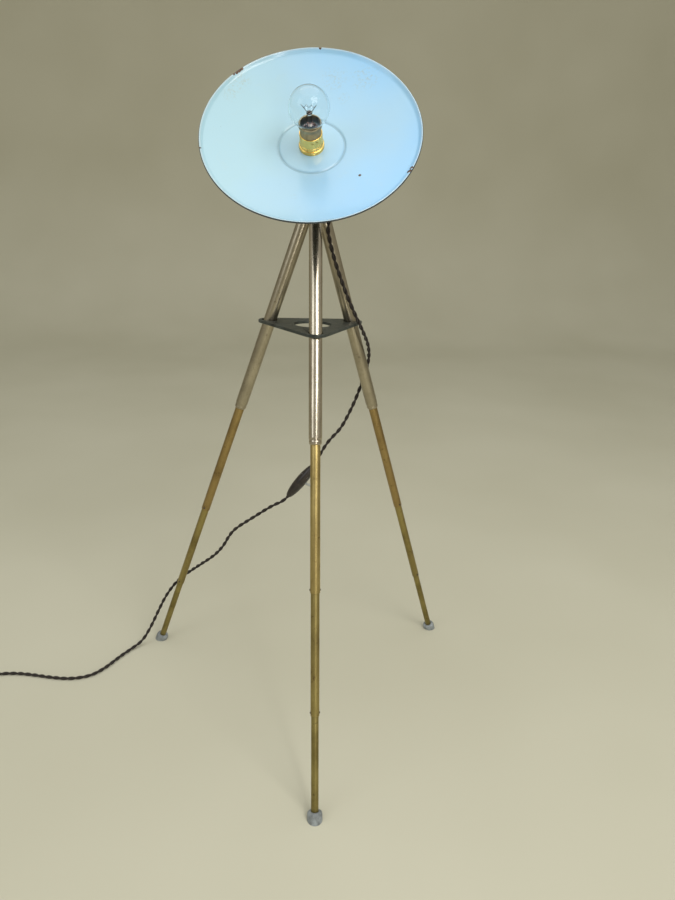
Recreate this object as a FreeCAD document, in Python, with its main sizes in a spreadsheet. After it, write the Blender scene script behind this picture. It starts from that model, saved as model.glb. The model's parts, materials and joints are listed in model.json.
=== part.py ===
import FreeCAD
import Part
import Sketcher
import math
import os
from FreeCAD import Placement, Rotation, Vector

# A floor lamp on a telescopic tripod: a tilting dish shade and a bare bulb on a swivel over
# three folding legs, a loose spreader plate, and a flex with a switch and a plug.
# Lengths are millimetres and angles degrees. Z is up and the floor is Z = 0.

DIMS = {
    # tripod
    "apex_height": 970.0,        # where the three leg axes would meet
    "splay_angle": 20.0,         # leg axis from the vertical
    "hinge_radius": 13.5,        # hinge pins from the tripod's axis
    "outer_end": 382.5,          # from a hinge, down its leg, to the end of the plated tube
    "first_end": 623.5,          # the same to the end of the first brass tube
    "second_end": 823.5,         # the same to the end of the second brass tube
    "tube_overlap": 30.0,        # length of each tube inside the one above
    "outer_radius": 11.0,
    "outer_wall": 1.0,
    "first_radius": 8.25,
    "second_radius": 7.25,
    "third_radius": 6.15,
    "third_wall": 0.9,
    "slide_gap": 0.08,           # radial running clearance between tubes
    "neck_length": 9.0,          # closed-in lower end of the plated tube
    "guide_length": 14.0,
    "catch_radius": 1.7,
    "catch_rise": 1.6,           # how far a catch stands out of its tube
    "catch_inset": 5.0,          # catch centre above the tube's end
    "foot_radius": 12.5,
    "foot_grip": 9.0,            # depth of the tube's socket in the rubber foot
    "foot_sole": 5.0,            # rubber under the tube, on the leg's axis
    # crown and hinge
    "crown_radius": 22.0,
    "crown_height": 22.0,
    "crown_below_hinge": 11.0,
    "tongue_width": 7.6,
    "tongue_gap": 0.2,
    "tongue_radius": 5.5,
    "pin_radius": 2.4,
    "pin_gap": 0.06,
    "pin_length": 16.0,
    "lug_neck": 18.0,            # from the hinge to the lug's flange
    "lug_flange": 2.0,
    "lug_plug": 22.0,
    # stem and swivel
    "stem_radius": 5.0,
    "stem_bore": 3.0,
    "stem_seat": 7.0,            # depth of the stem's thread in the crown
    "stem_shoulder": 966.0,      # height of the shoulder under the swivel
    "spigot_radius": 4.0,
    "spigot_length": 13.0,
    "swivel_radius": 8.5,
    "swivel_gap": 0.05,
    "pivot_height": 993.0,       # tilt axis
    "ear_thickness": 4.5,
    "knuckle_width": 6.0,
    "knuckle_gap": 0.2,
    "bolt_radius": 2.5,
    "bush_height": 957.0,        # cord outlet in the stem
    "bush_angle": -62.0,         # its direction about the vertical
    "bush_radius": 4.6,
    "bush_reach": 14.0,          # outer end of the bush from the stem's axis
    # head, measured along its own axis from the tilt axis
    "pan_angle": -8.7,
    "head_elevation": 40.4,
    "head_offset": -4.4,         # the shade's axis from the middle of the tilt joint, along its bolt
    "cap_start": 16.0,
    "cap_radius": 19.5,
    "shade_seat": 50.8,          # back of the shade's flat centre
    "shade_sheet": 1.2,
    "shade_radius": 169.5,
    "shade_depth": 32.0,
    "shade_flat_radius": 48.0,
    "shade_bead_width": 7.0,
    "shade_bead_rise": 1.8,
    "shade_bowl_arc": 420.0,
    "shade_rim_roll": 2.0,
    "barrel_radius": 16.0,
    "barrel_wall": 1.0,
    "barrel_end": 95.0,
    "lip_radius": 17.9,
    "lip_length": 6.0,           # half of it past the barrel's end
    "ring_radius": 19.8,         # the brass ring that clamps the shade
    "ring_foot": 6.0,            # height of its wide, grooved tier
    "ring_collar": 11.5,         # height of the tier above, from the shade
    "ring_wall": 1.8,
    "ring_end": 80.0,
    "thread_gap": 0.1,
    "bulb_radius": 30.5,
    "bulb_centre": 127.0,
    "bulb_neck": 14.2,
    "bulb_glass": 0.8,
    "bulb_cap_radius": 13.2,
    "bulb_cap_start": 62.0,
    "bulb_cap_length": 25.0,
    # spreader plate
    "plate_thickness": 5.0,
    "plate_drop": 202.5,         # from a hinge, down its leg, to the plate
    "plate_corner": 20.0,
    "plate_hole": 32.5,
    "plate_gap_side": 1.0,
    "plate_gap_radial": 1.9,
    # cord, switch and plug
    "cord_radius": 3.5,
    "switch_length": 84.0,
    "switch_width": 27.0,
    "switch_thickness": 22.0,
    "switch_wall": 2.0,
    "lever_radius": 3.0,
    "lever_reach": 16.0,
    "lever_lean": 22.0,          # either side of square to the case
    "pivot_depth": 6.0,          # lever's axle under the top of the case
    "coil_mean_radius": 33.0,
    "coil_turns_wide": 3.0,
    "coil_height": 13.4,
    "plug_length": 36.0,
    "plug_width": 35.0,
    "plug_thickness": 14.0,
    "plug_pin_radius": 2.0,
    "plug_pin_length": 19.0,
    "plug_pin_spacing": 19.0,
}
# The left leg stands a little forward of its even third of the circle.
LEG_AZIMUTHS = {"front": -90.0, "right": 30.0, "left": 153.0}

doc = FreeCAD.newDocument("tripod_lamp")
sheet = doc.addObject("Spreadsheet::Sheet", "dims")
for row, (alias, number) in enumerate(DIMS.items(), start=1):
    sheet.set(f"A{row}", alias)
    sheet.set(f"B{row}", str(number))
    sheet.setAlias(f"B{row}", alias)
doc.recompute()
nodes = []


class Size:
    """A number together with the sheet expression that gives it."""

    def __init__(self, number, text):
        self.number = number
        self.text = text

    def __add__(self, other):
        other = as_size(other)
        return Size(self.number + other.number, f"({self.text} + {other.text})")

    def __sub__(self, other):
        other = as_size(other)
        return Size(self.number - other.number, f"({self.text} - {other.text})")

    def __mul__(self, factor):
        factor = as_size(factor)
        return Size(self.number * factor.number, f"({self.text} * {factor.text})")

    def __truediv__(self, divisor):
        divisor = as_size(divisor)
        return Size(self.number / divisor.number, f"({self.text} / {divisor.text})")

    def __neg__(self):
        return self * -1


def as_size(value):
    return value if isinstance(value, Size) else Size(float(value), f"({float(value)})")


def dim(alias):
    return Size(float(sheet.get(alias)), f"dims.{alias}")


def sine(angle):
    return Size(math.sin(math.radians(angle.number)), f"sin({angle.text} * 1deg)")


def cosine(angle):
    return Size(math.cos(math.radians(angle.number)), f"cos({angle.text} * 1deg)")


def bind(thing, **sizes):
    for name, size in sizes.items():
        size = as_size(size)
        setattr(thing, name, size.number)
        thing.setExpression(name, size.text)


def put(thing, at, rotation=Rotation()):
    """Places a thing, with each coordinate bound to the sheet."""
    at = [as_size(value) for value in at]
    thing.Placement = Placement(Vector(*[value.number for value in at]), rotation)
    for letter, value in zip("xyz", at):
        thing.setExpression(f"Placement.Base.{letter}", value.text)
    return thing


def node(thing, label):
    thing.Label = label
    nodes.append(thing)
    return thing


ALONG_X = Rotation(Vector(0, 1, 0), 90)
ALONG_Y = Rotation(Vector(1, 0, 0), -90)


def cylinder(radius, height, at=(0, 0, 0), rotation=Rotation()):
    piece = doc.addObject("Part::Cylinder", "round")
    bind(piece, Radius=radius, Height=height)
    return put(piece, at, rotation)


def cone(radius_1, radius_2, height, at=(0, 0, 0), rotation=Rotation()):
    piece = doc.addObject("Part::Cone", "taper")
    bind(piece, Radius1=radius_1, Radius2=radius_2, Height=height)
    return put(piece, at, rotation)


def box(length, width, height, at=(0, 0, 0), rotation=Rotation()):
    piece = doc.addObject("Part::Box", "block")
    bind(piece, Length=length, Width=width, Height=height)
    return put(piece, at, rotation)


def fuse(*pieces):
    whole = doc.addObject("Part::MultiFuse", "joined")
    whole.Shapes = list(pieces)
    whole.Refine = True
    return whole


def cut(base, *tools):
    whole = doc.addObject("Part::Cut", "cut")
    whole.Base = base
    whole.Tool = tools[0] if len(tools) == 1 else fuse(*tools)
    return whole


def group(*pieces):
    """Separate equal pieces that share one node."""
    whole = doc.addObject("Part::Compound", "group")
    whole.Links = list(pieces)
    return whole


def origin_plane(body, role):
    return next(plane for plane in body.Origin.OriginFeatures if plane.Role == role)


def sketch_on(body, role, name):
    sketch = body.newObject("Sketcher::SketchObject", name)
    sketch.AttachmentSupport = (origin_plane(body, role), [""])
    sketch.MapMode = "FlatFace"
    return sketch


def arc_between(start, end, radius):
    """The short arc that bulges to the left of start-to-end, or to the right if negative."""
    chord = end - start
    middle = (start + end) * 0.5
    left = Vector(-chord.y, chord.x, 0).normalize()
    rise = abs(radius) - math.sqrt(radius ** 2 - (chord.Length / 2) ** 2)
    ends = (end, start) if radius > 0 else (start, end)
    return Part.Arc(ends[0], middle + left * math.copysign(rise, radius), ends[1])


def dome_radius(base, rise):
    """The radius of a spherical cap of that base radius and rise."""
    return (base * base + rise * rise) / (rise * 2)


def pin_point(sketch, edge, end, x, y):
    """Fixes one end of an edge at x, y, bound to the sheet."""
    for kind, size, axis in (("DistanceX", x, -2), ("DistanceY", y, -1)):
        if abs(size.number) < 1e-9:
            sketch.addConstraint(Sketcher.Constraint("PointOnObject", edge, end, axis))
            continue
        index = sketch.addConstraint(Sketcher.Constraint(kind, edge, end, size.number))
        sketch.setExpression(f"Constraints[{index}]", size.text)


def turned(name, outline):
    """A body turned about Z from corners (radius, height) or (radius, height, arc to the next)."""
    body = doc.addObject("PartDesign::Body", name)
    sketch = sketch_on(body, "XZ_Plane", name + "_profile")
    corners = [[as_size(value) for value in corner] for corner in outline]
    points = [Vector(corner[0].number, corner[1].number, 0) for corner in corners]
    starts = []
    for index, corner in enumerate(corners):
        start, end = points[index], points[(index + 1) % len(points)]
        if len(corner) == 2:
            sketch.addGeometry(Part.LineSegment(start, end))
            starts.append(1)
        else:
            sketch.addGeometry(arc_between(start, end, corner[2].number))
            begins_here = sketch.Geometry[index].StartPoint.distanceToPoint(start) < 1e-6
            starts.append(1 if begins_here else 2)
    for index, corner in enumerate(corners):
        before = (index - 1) % len(corners)
        sketch.addConstraint(
            Sketcher.Constraint("Coincident", before, 3 - starts[before], index, starts[index])
        )
        pin_point(sketch, index, starts[index], corner[0], corner[1])
        if len(corner) == 3:
            radius = corner[2] if corner[2].number > 0 else -corner[2]
            number = sketch.addConstraint(Sketcher.Constraint("Radius", index, radius.number))
            sketch.setExpression(f"Constraints[{number}]", radius.text)
    turn = body.newObject("PartDesign::Revolution", name + "_turn")
    turn.Profile = sketch
    turn.ReferenceAxis = (sketch, ["V_Axis"])
    turn.Angle = 360
    sketch.Visibility = False
    return body


def turned_tube(name, outer, inner, start, end):
    return turned(name, [(inner, start), (outer, start), (outer, end), (inner, end)])


splay = dim("splay_angle")
splay_slope = sine(splay) / cosine(splay)

# The origin is under the middle of the tripod's footprint, not under its axis: the front
# foot reaches further forward than the two back feet reach behind.
foot_circle = dim("apex_height") * splay_slope
foot_long = dim("foot_radius") / cosine(splay)
front_reach = foot_circle + foot_long
half_squared = foot_long * foot_long / 4 + dim("foot_radius") * dim("foot_radius") * 3 / 4
back_reach = foot_circle / 2 + Size(
    math.sqrt(half_squared.number), f"sqrt({half_squared.text})"
)
axis_y = (front_reach - back_reach) / 2
hinge_height = dim("apex_height") - dim("hinge_radius") / splay_slope
hinge_to_floor = hinge_height / cosine(splay)


# ---------------------------------------------------------------- crown, stem, swivel

def about_z(angle):
    return Rotation(Vector(0, 0, 1), angle)


def make_crown():
    bottom = hinge_height - dim("crown_below_hinge")
    radius, height = dim("crown_radius"), dim("crown_height")
    edge = 2.0
    hub = turned("crown_hub", [
        (0, 0), (radius - edge, 0), (radius, edge), (radius, height - 8, -10),
        (radius - 8, height), (0, height),
    ])
    tools = [cylinder(dim("stem_radius"), dim("stem_seat"), (0, 0, height - dim("stem_seat")))]
    slot_width = dim("tongue_width") + dim("tongue_gap") * 2
    slot_start = dim("hinge_radius") - dim("tongue_radius") - 0.6
    for azimuth in LEG_AZIMUTHS.values():
        turn = about_z(azimuth)
        along = Vector(math.cos(math.radians(azimuth)), math.sin(math.radians(azimuth)), 0)
        across = Vector(-along.y, along.x, 0)
        start = [slot_start * along[i] - slot_width * across[i] / 2 for i in (0, 1)]
        slot_height = dim("crown_below_hinge") + dim("tongue_radius") + 0.8
        tools.append(box(radius, slot_width, slot_height, (*start, 0), turn))
        hole = [dim("hinge_radius") * along[i] - dim("pin_length") * across[i] / 2 for i in (0, 1)]
        tools.append(cylinder(
            dim("pin_radius"), dim("pin_length"), (*hole, dim("crown_below_hinge")),
            turn * ALONG_Y,
        ))
    crown = node(cut(hub, *tools), "crown")
    put(crown, (0, axis_y, bottom))

    pins = []
    for azimuth in LEG_AZIMUTHS.values():
        along = Vector(math.cos(math.radians(azimuth)), math.sin(math.radians(azimuth)), 0)
        across = Vector(-along.y, along.x, 0)
        start = [dim("hinge_radius") * along[i] - dim("pin_length") * across[i] / 2 for i in (0, 1)]
        pins.append(cylinder(
            dim("pin_radius"), dim("pin_length"), (start[0], start[1] + axis_y, hinge_height),
            about_z(azimuth) * ALONG_Y,
        ))
    node(group(*pins), "hinge_pins")
    return bottom + height


def bush_direction():
    angle = math.radians(dim("bush_angle").number)
    return Vector(math.cos(angle), math.sin(angle), 0)


def make_stem(crown_top):
    foot = crown_top - dim("stem_seat")
    shoulder = dim("stem_shoulder") - foot
    bush = dim("bush_height") - foot
    stem = turned("stem_turning", [
        (dim("stem_bore"), 0), (dim("stem_radius"), 0), (dim("stem_radius"), shoulder),
        (dim("spigot_radius"), shoulder), (dim("spigot_radius"), shoulder + dim("spigot_length")),
        (dim("stem_bore"), shoulder + dim("spigot_length")),
    ])
    outlet = about_z(dim("bush_angle").number) * ALONG_X
    outlet_hole = cylinder(dim("cord_radius"), dim("bush_reach"), (0, 0, bush), outlet)
    put(node(cut(stem, outlet_hole), "stem"), (0, axis_y, foot))

    nut = doc.addObject("Part::Prism", "stem_nut_hex")
    nut.Polygon = 6
    bind(nut, Circumradius=dim("stem_radius") * 1.75, Height=dim("stem_radius") * 0.9)
    threaded = cut(nut, cylinder(dim("stem_radius"), dim("stem_radius")))
    put(node(threaded, "stem_nut"), (0, axis_y, crown_top))

    reach, radius = dim("bush_reach"), dim("bush_radius")
    flange = cylinder(radius + 1.2, 2.0, (0, 0, dim("stem_radius")))
    shell = cone(
        radius, dim("cord_radius") + 0.7, reach - dim("stem_radius"), (0, 0, dim("stem_radius"))
    )
    seat_axis = cylinder(dim("stem_radius"), radius * 6, (radius * -3, 0, 0), ALONG_X)
    bore = cylinder(dim("cord_radius") - 0.6, reach)
    bush_piece = node(cut(fuse(flange, shell), seat_axis, bore), "cord_bush")
    put(bush_piece, (0, axis_y, dim("bush_height")), outlet)


def make_swivel():
    height = dim("pivot_height") - dim("stem_shoulder")
    clear = dim("swivel_gap") * 4
    fork_floor = height - dim("swivel_radius") - 3.5
    radius = dim("swivel_radius")
    gap = dim("knuckle_width") + dim("knuckle_gap") * 2
    fork_width = gap + dim("ear_thickness") * 2
    collar = cylinder(radius, fork_floor - clear, (0, 0, clear))
    ears = fuse(
        cylinder(radius, fork_width, (fork_width * -0.5, 0, height), ALONG_X),
        box(fork_width, radius * 2, height - fork_floor + 1, (fork_width * -0.5, -radius, fork_floor - 1)),
    )
    slot = box(gap, radius * 4, radius * 3, (gap * -0.5, radius * -2, fork_floor))
    spigot_bore = cylinder(
        dim("spigot_radius") + dim("swivel_gap"), dim("spigot_length") + clear, (0, 0, 0)
    )
    bolt_hole = cylinder(dim("bolt_radius"), fork_width, (fork_width * -0.5, 0, height), ALONG_X)
    swivel = node(cut(fuse(collar, ears), slot, spigot_bore, bolt_hole), "swivel")
    place = about_z(dim("pan_angle").number)
    put(swivel, (0, axis_y, dim("stem_shoulder")), place)

    half = fork_width / 2
    head_radius, dome_rise = as_size(5.2), as_size(2.0)
    head = turned("tilt_bolt_head", [
        (0, 0), (head_radius, 0), (head_radius, 1.4, -dome_radius(head_radius, dome_rise)),
        (0, dome_rise + 1.4),
    ])
    put(head, (half, 0, 0), ALONG_X)
    shank = cylinder(dim("bolt_radius"), fork_width + 4, (-half - 4, 0, 0), ALONG_X)
    bolt = node(fuse(head, shank), "tilt_bolt")
    put(bolt, (0, axis_y, dim("pivot_height")), place)

    nut_rise = as_size(3.0)
    dome = turned("tilt_nut_dome", [
        (dim("bolt_radius"), 0), (head_radius, 0),
        (head_radius, 3.0, -dome_radius(head_radius, nut_rise)), (0, nut_rise + 3.0),
        (0, 4.0), (dim("bolt_radius"), 4.0),
    ])
    put(dome, (-half, 0, 0), Rotation(Vector(0, 1, 0), -90))
    nut = node(group(dome), "tilt_nut")
    put(nut, (0, axis_y, dim("pivot_height")), place)


# ---------------------------------------------------------------- head

def head_place(thing):
    """Puts a piece that is made along Z from the tilt axis where the head holds it."""
    lean = 90.0 - dim("head_elevation").number
    pan, offset = dim("pan_angle"), dim("head_offset")
    turn = about_z(pan.number) * Rotation(Vector(1, 0, 0), lean)
    at = (offset * cosine(pan), axis_y + offset * sine(pan), dim("pivot_height"))
    return put(thing, at, turn)


def head_node(thing, label):
    return head_place(node(thing, label))


def make_holder():
    radius = dim("cap_radius")
    start, seat = dim("cap_start"), dim("shade_seat")
    width = dim("knuckle_width")
    side = width * -0.5 - dim("head_offset")
    eye = cylinder(dim("swivel_radius"), width, (side, 0, 0), ALONG_X)
    neck_depth = dim("swivel_radius") * 1.3
    neck = box(width, neck_depth, start - 1, (side, neck_depth * -0.5, 0))
    foot = cylinder(9.0, 3.0, (0, 0, start - 3))
    nipple = cylinder(4.5, 10.0, (0, 0, start))
    wire_way = cylinder(2.6, 14.0, (0, 0, start - 2))
    hole = cylinder(dim("bolt_radius") + dim("pin_gap"), width, (side, 0, 0), ALONG_X)
    head_node(cut(fuse(eye, neck, foot, nipple), hole, wire_way), "knuckle")

    wall = 1.2
    head_node(turned("holder_cap", [
        (4.5, start), (10.5, start, -14), (radius - 1.5, start + 7), (radius - 1.5, seat - 3),
        (radius, seat - 3), (radius, seat), (dim("barrel_radius") + 0.1, seat),
        (dim("barrel_radius") + 0.1, start + 8, 13), (10.0, start + wall), (4.5, start + wall),
    ]), "holder_cap")

    inside = dim("barrel_radius") - dim("barrel_wall")
    base_start = start + 26
    head_node(turned("holder_base", [
        (3.0, base_start), (inside, base_start), (inside, base_start + 12), (11.0, base_start + 12),
        (11.0, base_start + 8), (3.0, base_start + 8),
    ]), "holder_base")
    tongue = box(7.0, 4.0, dim("bulb_cap_start") - 4 - base_start - 8, (-3.5, -2, base_start + 8))
    strip = box(0.8, 5.0, 18.0, (dim("bulb_cap_radius") + 0.3, -2.5, base_start + 12))
    screws = [
        turned(f"terminal_screw_{side}", [(0, 0), (1.5, 0), (1.5, 4), (2.6, 4), (2.6, 5.6), (0, 5.6)])
        for side in (1, 2)
    ]
    for screw, x in zip(screws, (-7.5, 7.5)):
        put(screw, (x, 0, base_start), Rotation(Vector(1, 0, 0), 180))
    head_node(group(tongue, strip, *screws), "holder_terminals")

    outer, inner = dim("barrel_radius"), dim("barrel_radius") - dim("barrel_wall")
    barrel_start = start + 12
    head_node(turned_tube("holder_barrel", outer, inner, barrel_start, dim("barrel_end")), "holder_barrel")
    bore = outer + dim("thread_gap")
    front = seat + dim("shade_sheet")
    wide, slim, groove = dim("ring_radius"), bore + dim("ring_wall"), 0.6
    tier, collar, ring_end = front + dim("ring_foot"), front + dim("ring_collar"), dim("ring_end")
    groove_level = front + dim("ring_foot") / 2
    head_node(turned("shade_ring", [
        (bore, front), (wide, front), (wide, groove_level - groove), (wide - groove, groove_level),
        (wide, groove_level + groove), (wide, tier - groove), (wide - groove, tier),
        (slim + groove, tier), (slim + groove, collar - groove), (slim, collar),
        (slim, ring_end - groove), (slim - groove, ring_end), (bore, ring_end),
    ]), "shade_ring")
    lip, end = dim("lip_radius"), dim("barrel_end")
    lip_back, lip_front = end - dim("lip_length") / 2, end + dim("lip_length") / 2
    mouth = outer - 0.6
    head_node(turned("holder_lip", [
        (outer, lip_back), (lip, lip_back), (lip, lip_front - 1), (lip - 1, lip_front, -1.2),
        (mouth, lip_front), (mouth, end), (outer, end),
    ]), "holder_lip")


def make_shade():
    sheet_thickness = dim("shade_sheet")
    back, front = dim("shade_seat"), dim("shade_seat") + sheet_thickness
    rim, depth = dim("shade_radius"), dim("shade_depth")
    hole = dim("barrel_radius") + dim("thread_gap") * 3
    flat, bead = dim("shade_flat_radius"), dim("shade_bead_width")
    rise, roll = dim("shade_bead_rise"), dim("shade_rim_roll")
    arc = dim("shade_bowl_arc")
    head_node(turned("shade", [
        (hole, back), (flat, back), (flat + bead / 3, back - rise), (flat + bead * 2 / 3, back - rise),
        (flat + bead, back, -arc), (rim - roll, back + depth - roll), (rim, back + depth - roll),
        (rim, back + depth + roll), (rim - roll, back + depth + roll),
        (rim - roll, front + depth - roll + 0.2, arc), (flat + bead, front),
        (flat + bead * 2 / 3, front - rise), (flat + bead / 3, front - rise), (flat, front),
        (hole, front),
    ]), "shade")


def make_bulb():
    centre, radius = dim("bulb_centre"), dim("bulb_radius")
    neck, glass = dim("bulb_neck"), dim("bulb_glass")
    cap, start, length = dim("bulb_cap_radius"), dim("bulb_cap_start"), dim("bulb_cap_length")
    # The neck meets the globe where the neck's cylinder would cut the globe's sphere.
    drop = math.sqrt(radius.number ** 2 - neck.number ** 2)
    join = Size(centre.number - drop, f"({centre.text} - sqrt({radius.text} ^ 2 - {neck.text} ^ 2))")
    inner_radius, inner_neck = radius - glass, neck - glass
    inner_drop = math.sqrt(inner_radius.number ** 2 - inner_neck.number ** 2)
    inner_join = Size(
        centre.number - inner_drop,
        f"({centre.text} - sqrt({inner_radius.text} ^ 2 - {inner_neck.text} ^ 2))",
    )
    glass_start = start + length
    head_node(turned("bulb_glass", [
        (cap - 3, glass_start), (neck, glass_start), (neck, join, -radius),
        (radius, centre, -radius), (0, centre + radius), (0, centre + inner_radius, inner_radius),
        (inner_radius, centre, inner_radius), (inner_neck, inner_join), (inner_neck, glass_start + glass),
        (cap - 3, glass_start + glass),
    ]), "bulb_glass")

    ridges = []
    pitch = 3.6
    for turn in range(5):
        level = start + 3 + turn * pitch
        ridges += [(cap, level), (cap - 0.9, level + pitch / 2)]
    head_node(turned("bulb_cap", [
        (6.0, start), (cap - 2, start), *ridges, (cap - 0.9, glass_start - 2),
        (cap - 0.9, glass_start), (cap - 1.7, glass_start), (cap - 1.7, start + 2), (6.0, start + 2),
    ]), "bulb_cap")
    head_node(turned("bulb_contact", [
        (0, start - 4), (4.0, start - 4), (5.5, start - 2), (6.0, start), (6.0, start + 2), (0, start + 2),
    ]), "bulb_contact")
    glass_stem = turned("bulb_stem_turning", [
        (0, glass_start - 4), (9.0, glass_start - 4), (4.0, glass_start + 9), (3.0, centre - 13),
        (4.6, centre - 10), (0, centre - 8),
    ])

    # Two lead wires spread from the stem and hold a zigzag of filament across the globe.
    top, wire = centre - 10, 0.45
    pieces = []
    corners = []
    span, folds = 11.0, 6
    for fold in range(folds + 1):
        across = -span + 2 * span * fold / folds
        level = top.number + (14.0 if fold % 2 == 0 else 9.0)
        corners.append(Vector(across, 0, level))
    route = [Vector(-2.0, 0, top.number - 1)] + corners + [Vector(2.0, 0, top.number - 1)]
    for start_point, end_point in zip(route, route[1:]):
        thin = 0.28 if start_point in corners and end_point in corners else wire
        length_between = start_point.distanceToPoint(end_point)
        pieces.append(Part.makeCylinder(thin, length_between, start_point, end_point - start_point))
        if end_point in corners:
            pieces.append(Part.makeSphere(wire, end_point))
    filament = doc.addObject("Part::Feature", "filament_wire")
    filament.Shape = pieces[0].multiFuse(pieces[1:])
    head_node(group(filament), "bulb_filament")
    head_node(cut(glass_stem, filament), "bulb_stem")


# ---------------------------------------------------------------- legs and spreader

def leg_turn(azimuth):
    """Turns Z down the leg, with X outward."""
    return about_z(azimuth) * Rotation(Vector(0, 1, 0), 180.0 - splay.number)


def leg_node(thing, name, label):
    azimuth = math.radians(LEG_AZIMUTHS[name])
    at = (
        dim("hinge_radius") * math.cos(azimuth),
        axis_y + dim("hinge_radius") * math.sin(azimuth),
        hinge_height,
    )
    return put(node(thing, f"leg_{name}_{label}"), at, leg_turn(LEG_AZIMUTHS[name]))


def catch_pins(seat, end, name):
    pins = []
    for side in (1, -1):
        at = (0, seat * side, end - dim("catch_inset"))
        turn = Rotation(Vector(1, 0, 0), -90 * side)
        dome_rise = as_size(0.6)
        arc = -dome_radius(dim("catch_radius"), dome_rise)
        pin = turned(f"{name}_{side + 2}", [
            (0, 0), (dim("catch_radius"), 0), (dim("catch_radius"), dim("catch_rise") - dome_rise, arc),
            (0, dim("catch_rise")),
        ])
        pins.append(put(pin, at, turn))
    return pins


def catch_seat(radius):
    """How far from a tube's axis the flat under a catch lies."""
    return radius - 0.35


def with_catch_flats(tube, radius, end):
    """The tube with a small flat under each catch, so that the two sit face to face."""
    pads = []
    for side in (1, -1):
        pads.append(cylinder(
            dim("catch_radius"), 2.0, (0, catch_seat(radius) * side, end - dim("catch_inset")),
            Rotation(Vector(1, 0, 0), -90 * side),
        ))
    return cut(tube, *pads)


def make_leg(name):
    width, neck = dim("tongue_width"), dim("lug_neck")
    flange, plug = dim("lug_flange"), dim("lug_plug")
    outer, bore = dim("outer_radius"), dim("outer_radius") - dim("outer_wall")
    first, second, third = dim("first_radius"), dim("second_radius"), dim("third_radius")
    gap, lap = dim("slide_gap"), dim("tube_overlap")
    tongue = fuse(
        cylinder(dim("tongue_radius"), width, (0, width * -0.5, 0), ALONG_Y),
        box(dim("tongue_radius") * 2, width, neck + 1, (-dim("tongue_radius"), width * -0.5, 0)),
        cylinder(outer, flange, (0, 0, neck)),
        cylinder(bore, plug, (0, 0, neck + flange)),
    )
    hole = cylinder(dim("pin_radius") + dim("pin_gap"), width * 2, (0, -width, 0), ALONG_Y)
    leg_node(cut(tongue, hole), name, "lug")

    end, neck_length = dim("outer_end"), dim("neck_length")
    neck_bore = first + gap
    leg_node(turned(f"outer_{name}", [
        (bore, neck + flange), (outer, neck + flange), (outer, end - neck_length),
        (outer - 0.5, end - neck_length + 2), (outer - 0.5, end - 1.5), (outer - 2, end, -2),
        (neck_bore, end), (neck_bore, end - neck_length), (bore, end - neck_length - 2),
    ]), name, "outer_tube")

    first_start, first_end = end - lap, dim("first_end")
    leg_node(turned_tube(
        f"guide_{name}", bore - gap, first, first_start, first_start + dim("guide_length")
    ), name, "guide_bush")
    body = turned_tube(f"first_{name}", first, second + gap, first_start, first_end)
    leg_node(with_catch_flats(body, first, first_end), name, "upper_tube")
    catches = catch_pins(catch_seat(first), first_end, f"first_catch_{name}")
    leg_node(group(*catches), name, "upper_catches")

    second_start, second_end = first_end - lap, dim("second_end")
    body = turned_tube(f"second_{name}", second, third + gap, second_start, second_end)
    leg_node(with_catch_flats(body, second, second_end), name, "middle_tube")
    catches = catch_pins(catch_seat(second), second_end, f"second_catch_{name}")
    leg_node(group(*catches), name, "middle_catches")

    third_end = hinge_to_floor - dim("foot_sole")
    leg_node(turned_tube(
        f"third_{name}", third, third - dim("third_wall"), second_end - lap, third_end
    ), name, "lower_tube")

    foot_radius, top = dim("foot_radius"), third_end - dim("foot_grip")
    rubber = turned(f"rubber_{name}", [
        (third, top), (foot_radius - 3, top, -3.2), (foot_radius, top + 3),
        (foot_radius, hinge_to_floor + foot_radius), (0, hinge_to_floor + foot_radius),
        (0, third_end), (third, third_end),
    ])
    size = foot_radius * 6
    ground = box(size, size, size, (
        size / -2 * cosine(splay), size / -2, hinge_to_floor + size / 2 * sine(splay)
    ), Rotation(Vector(0, 1, 0), splay.number))
    leg_node(cut(rubber, ground), name, "foot")


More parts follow.
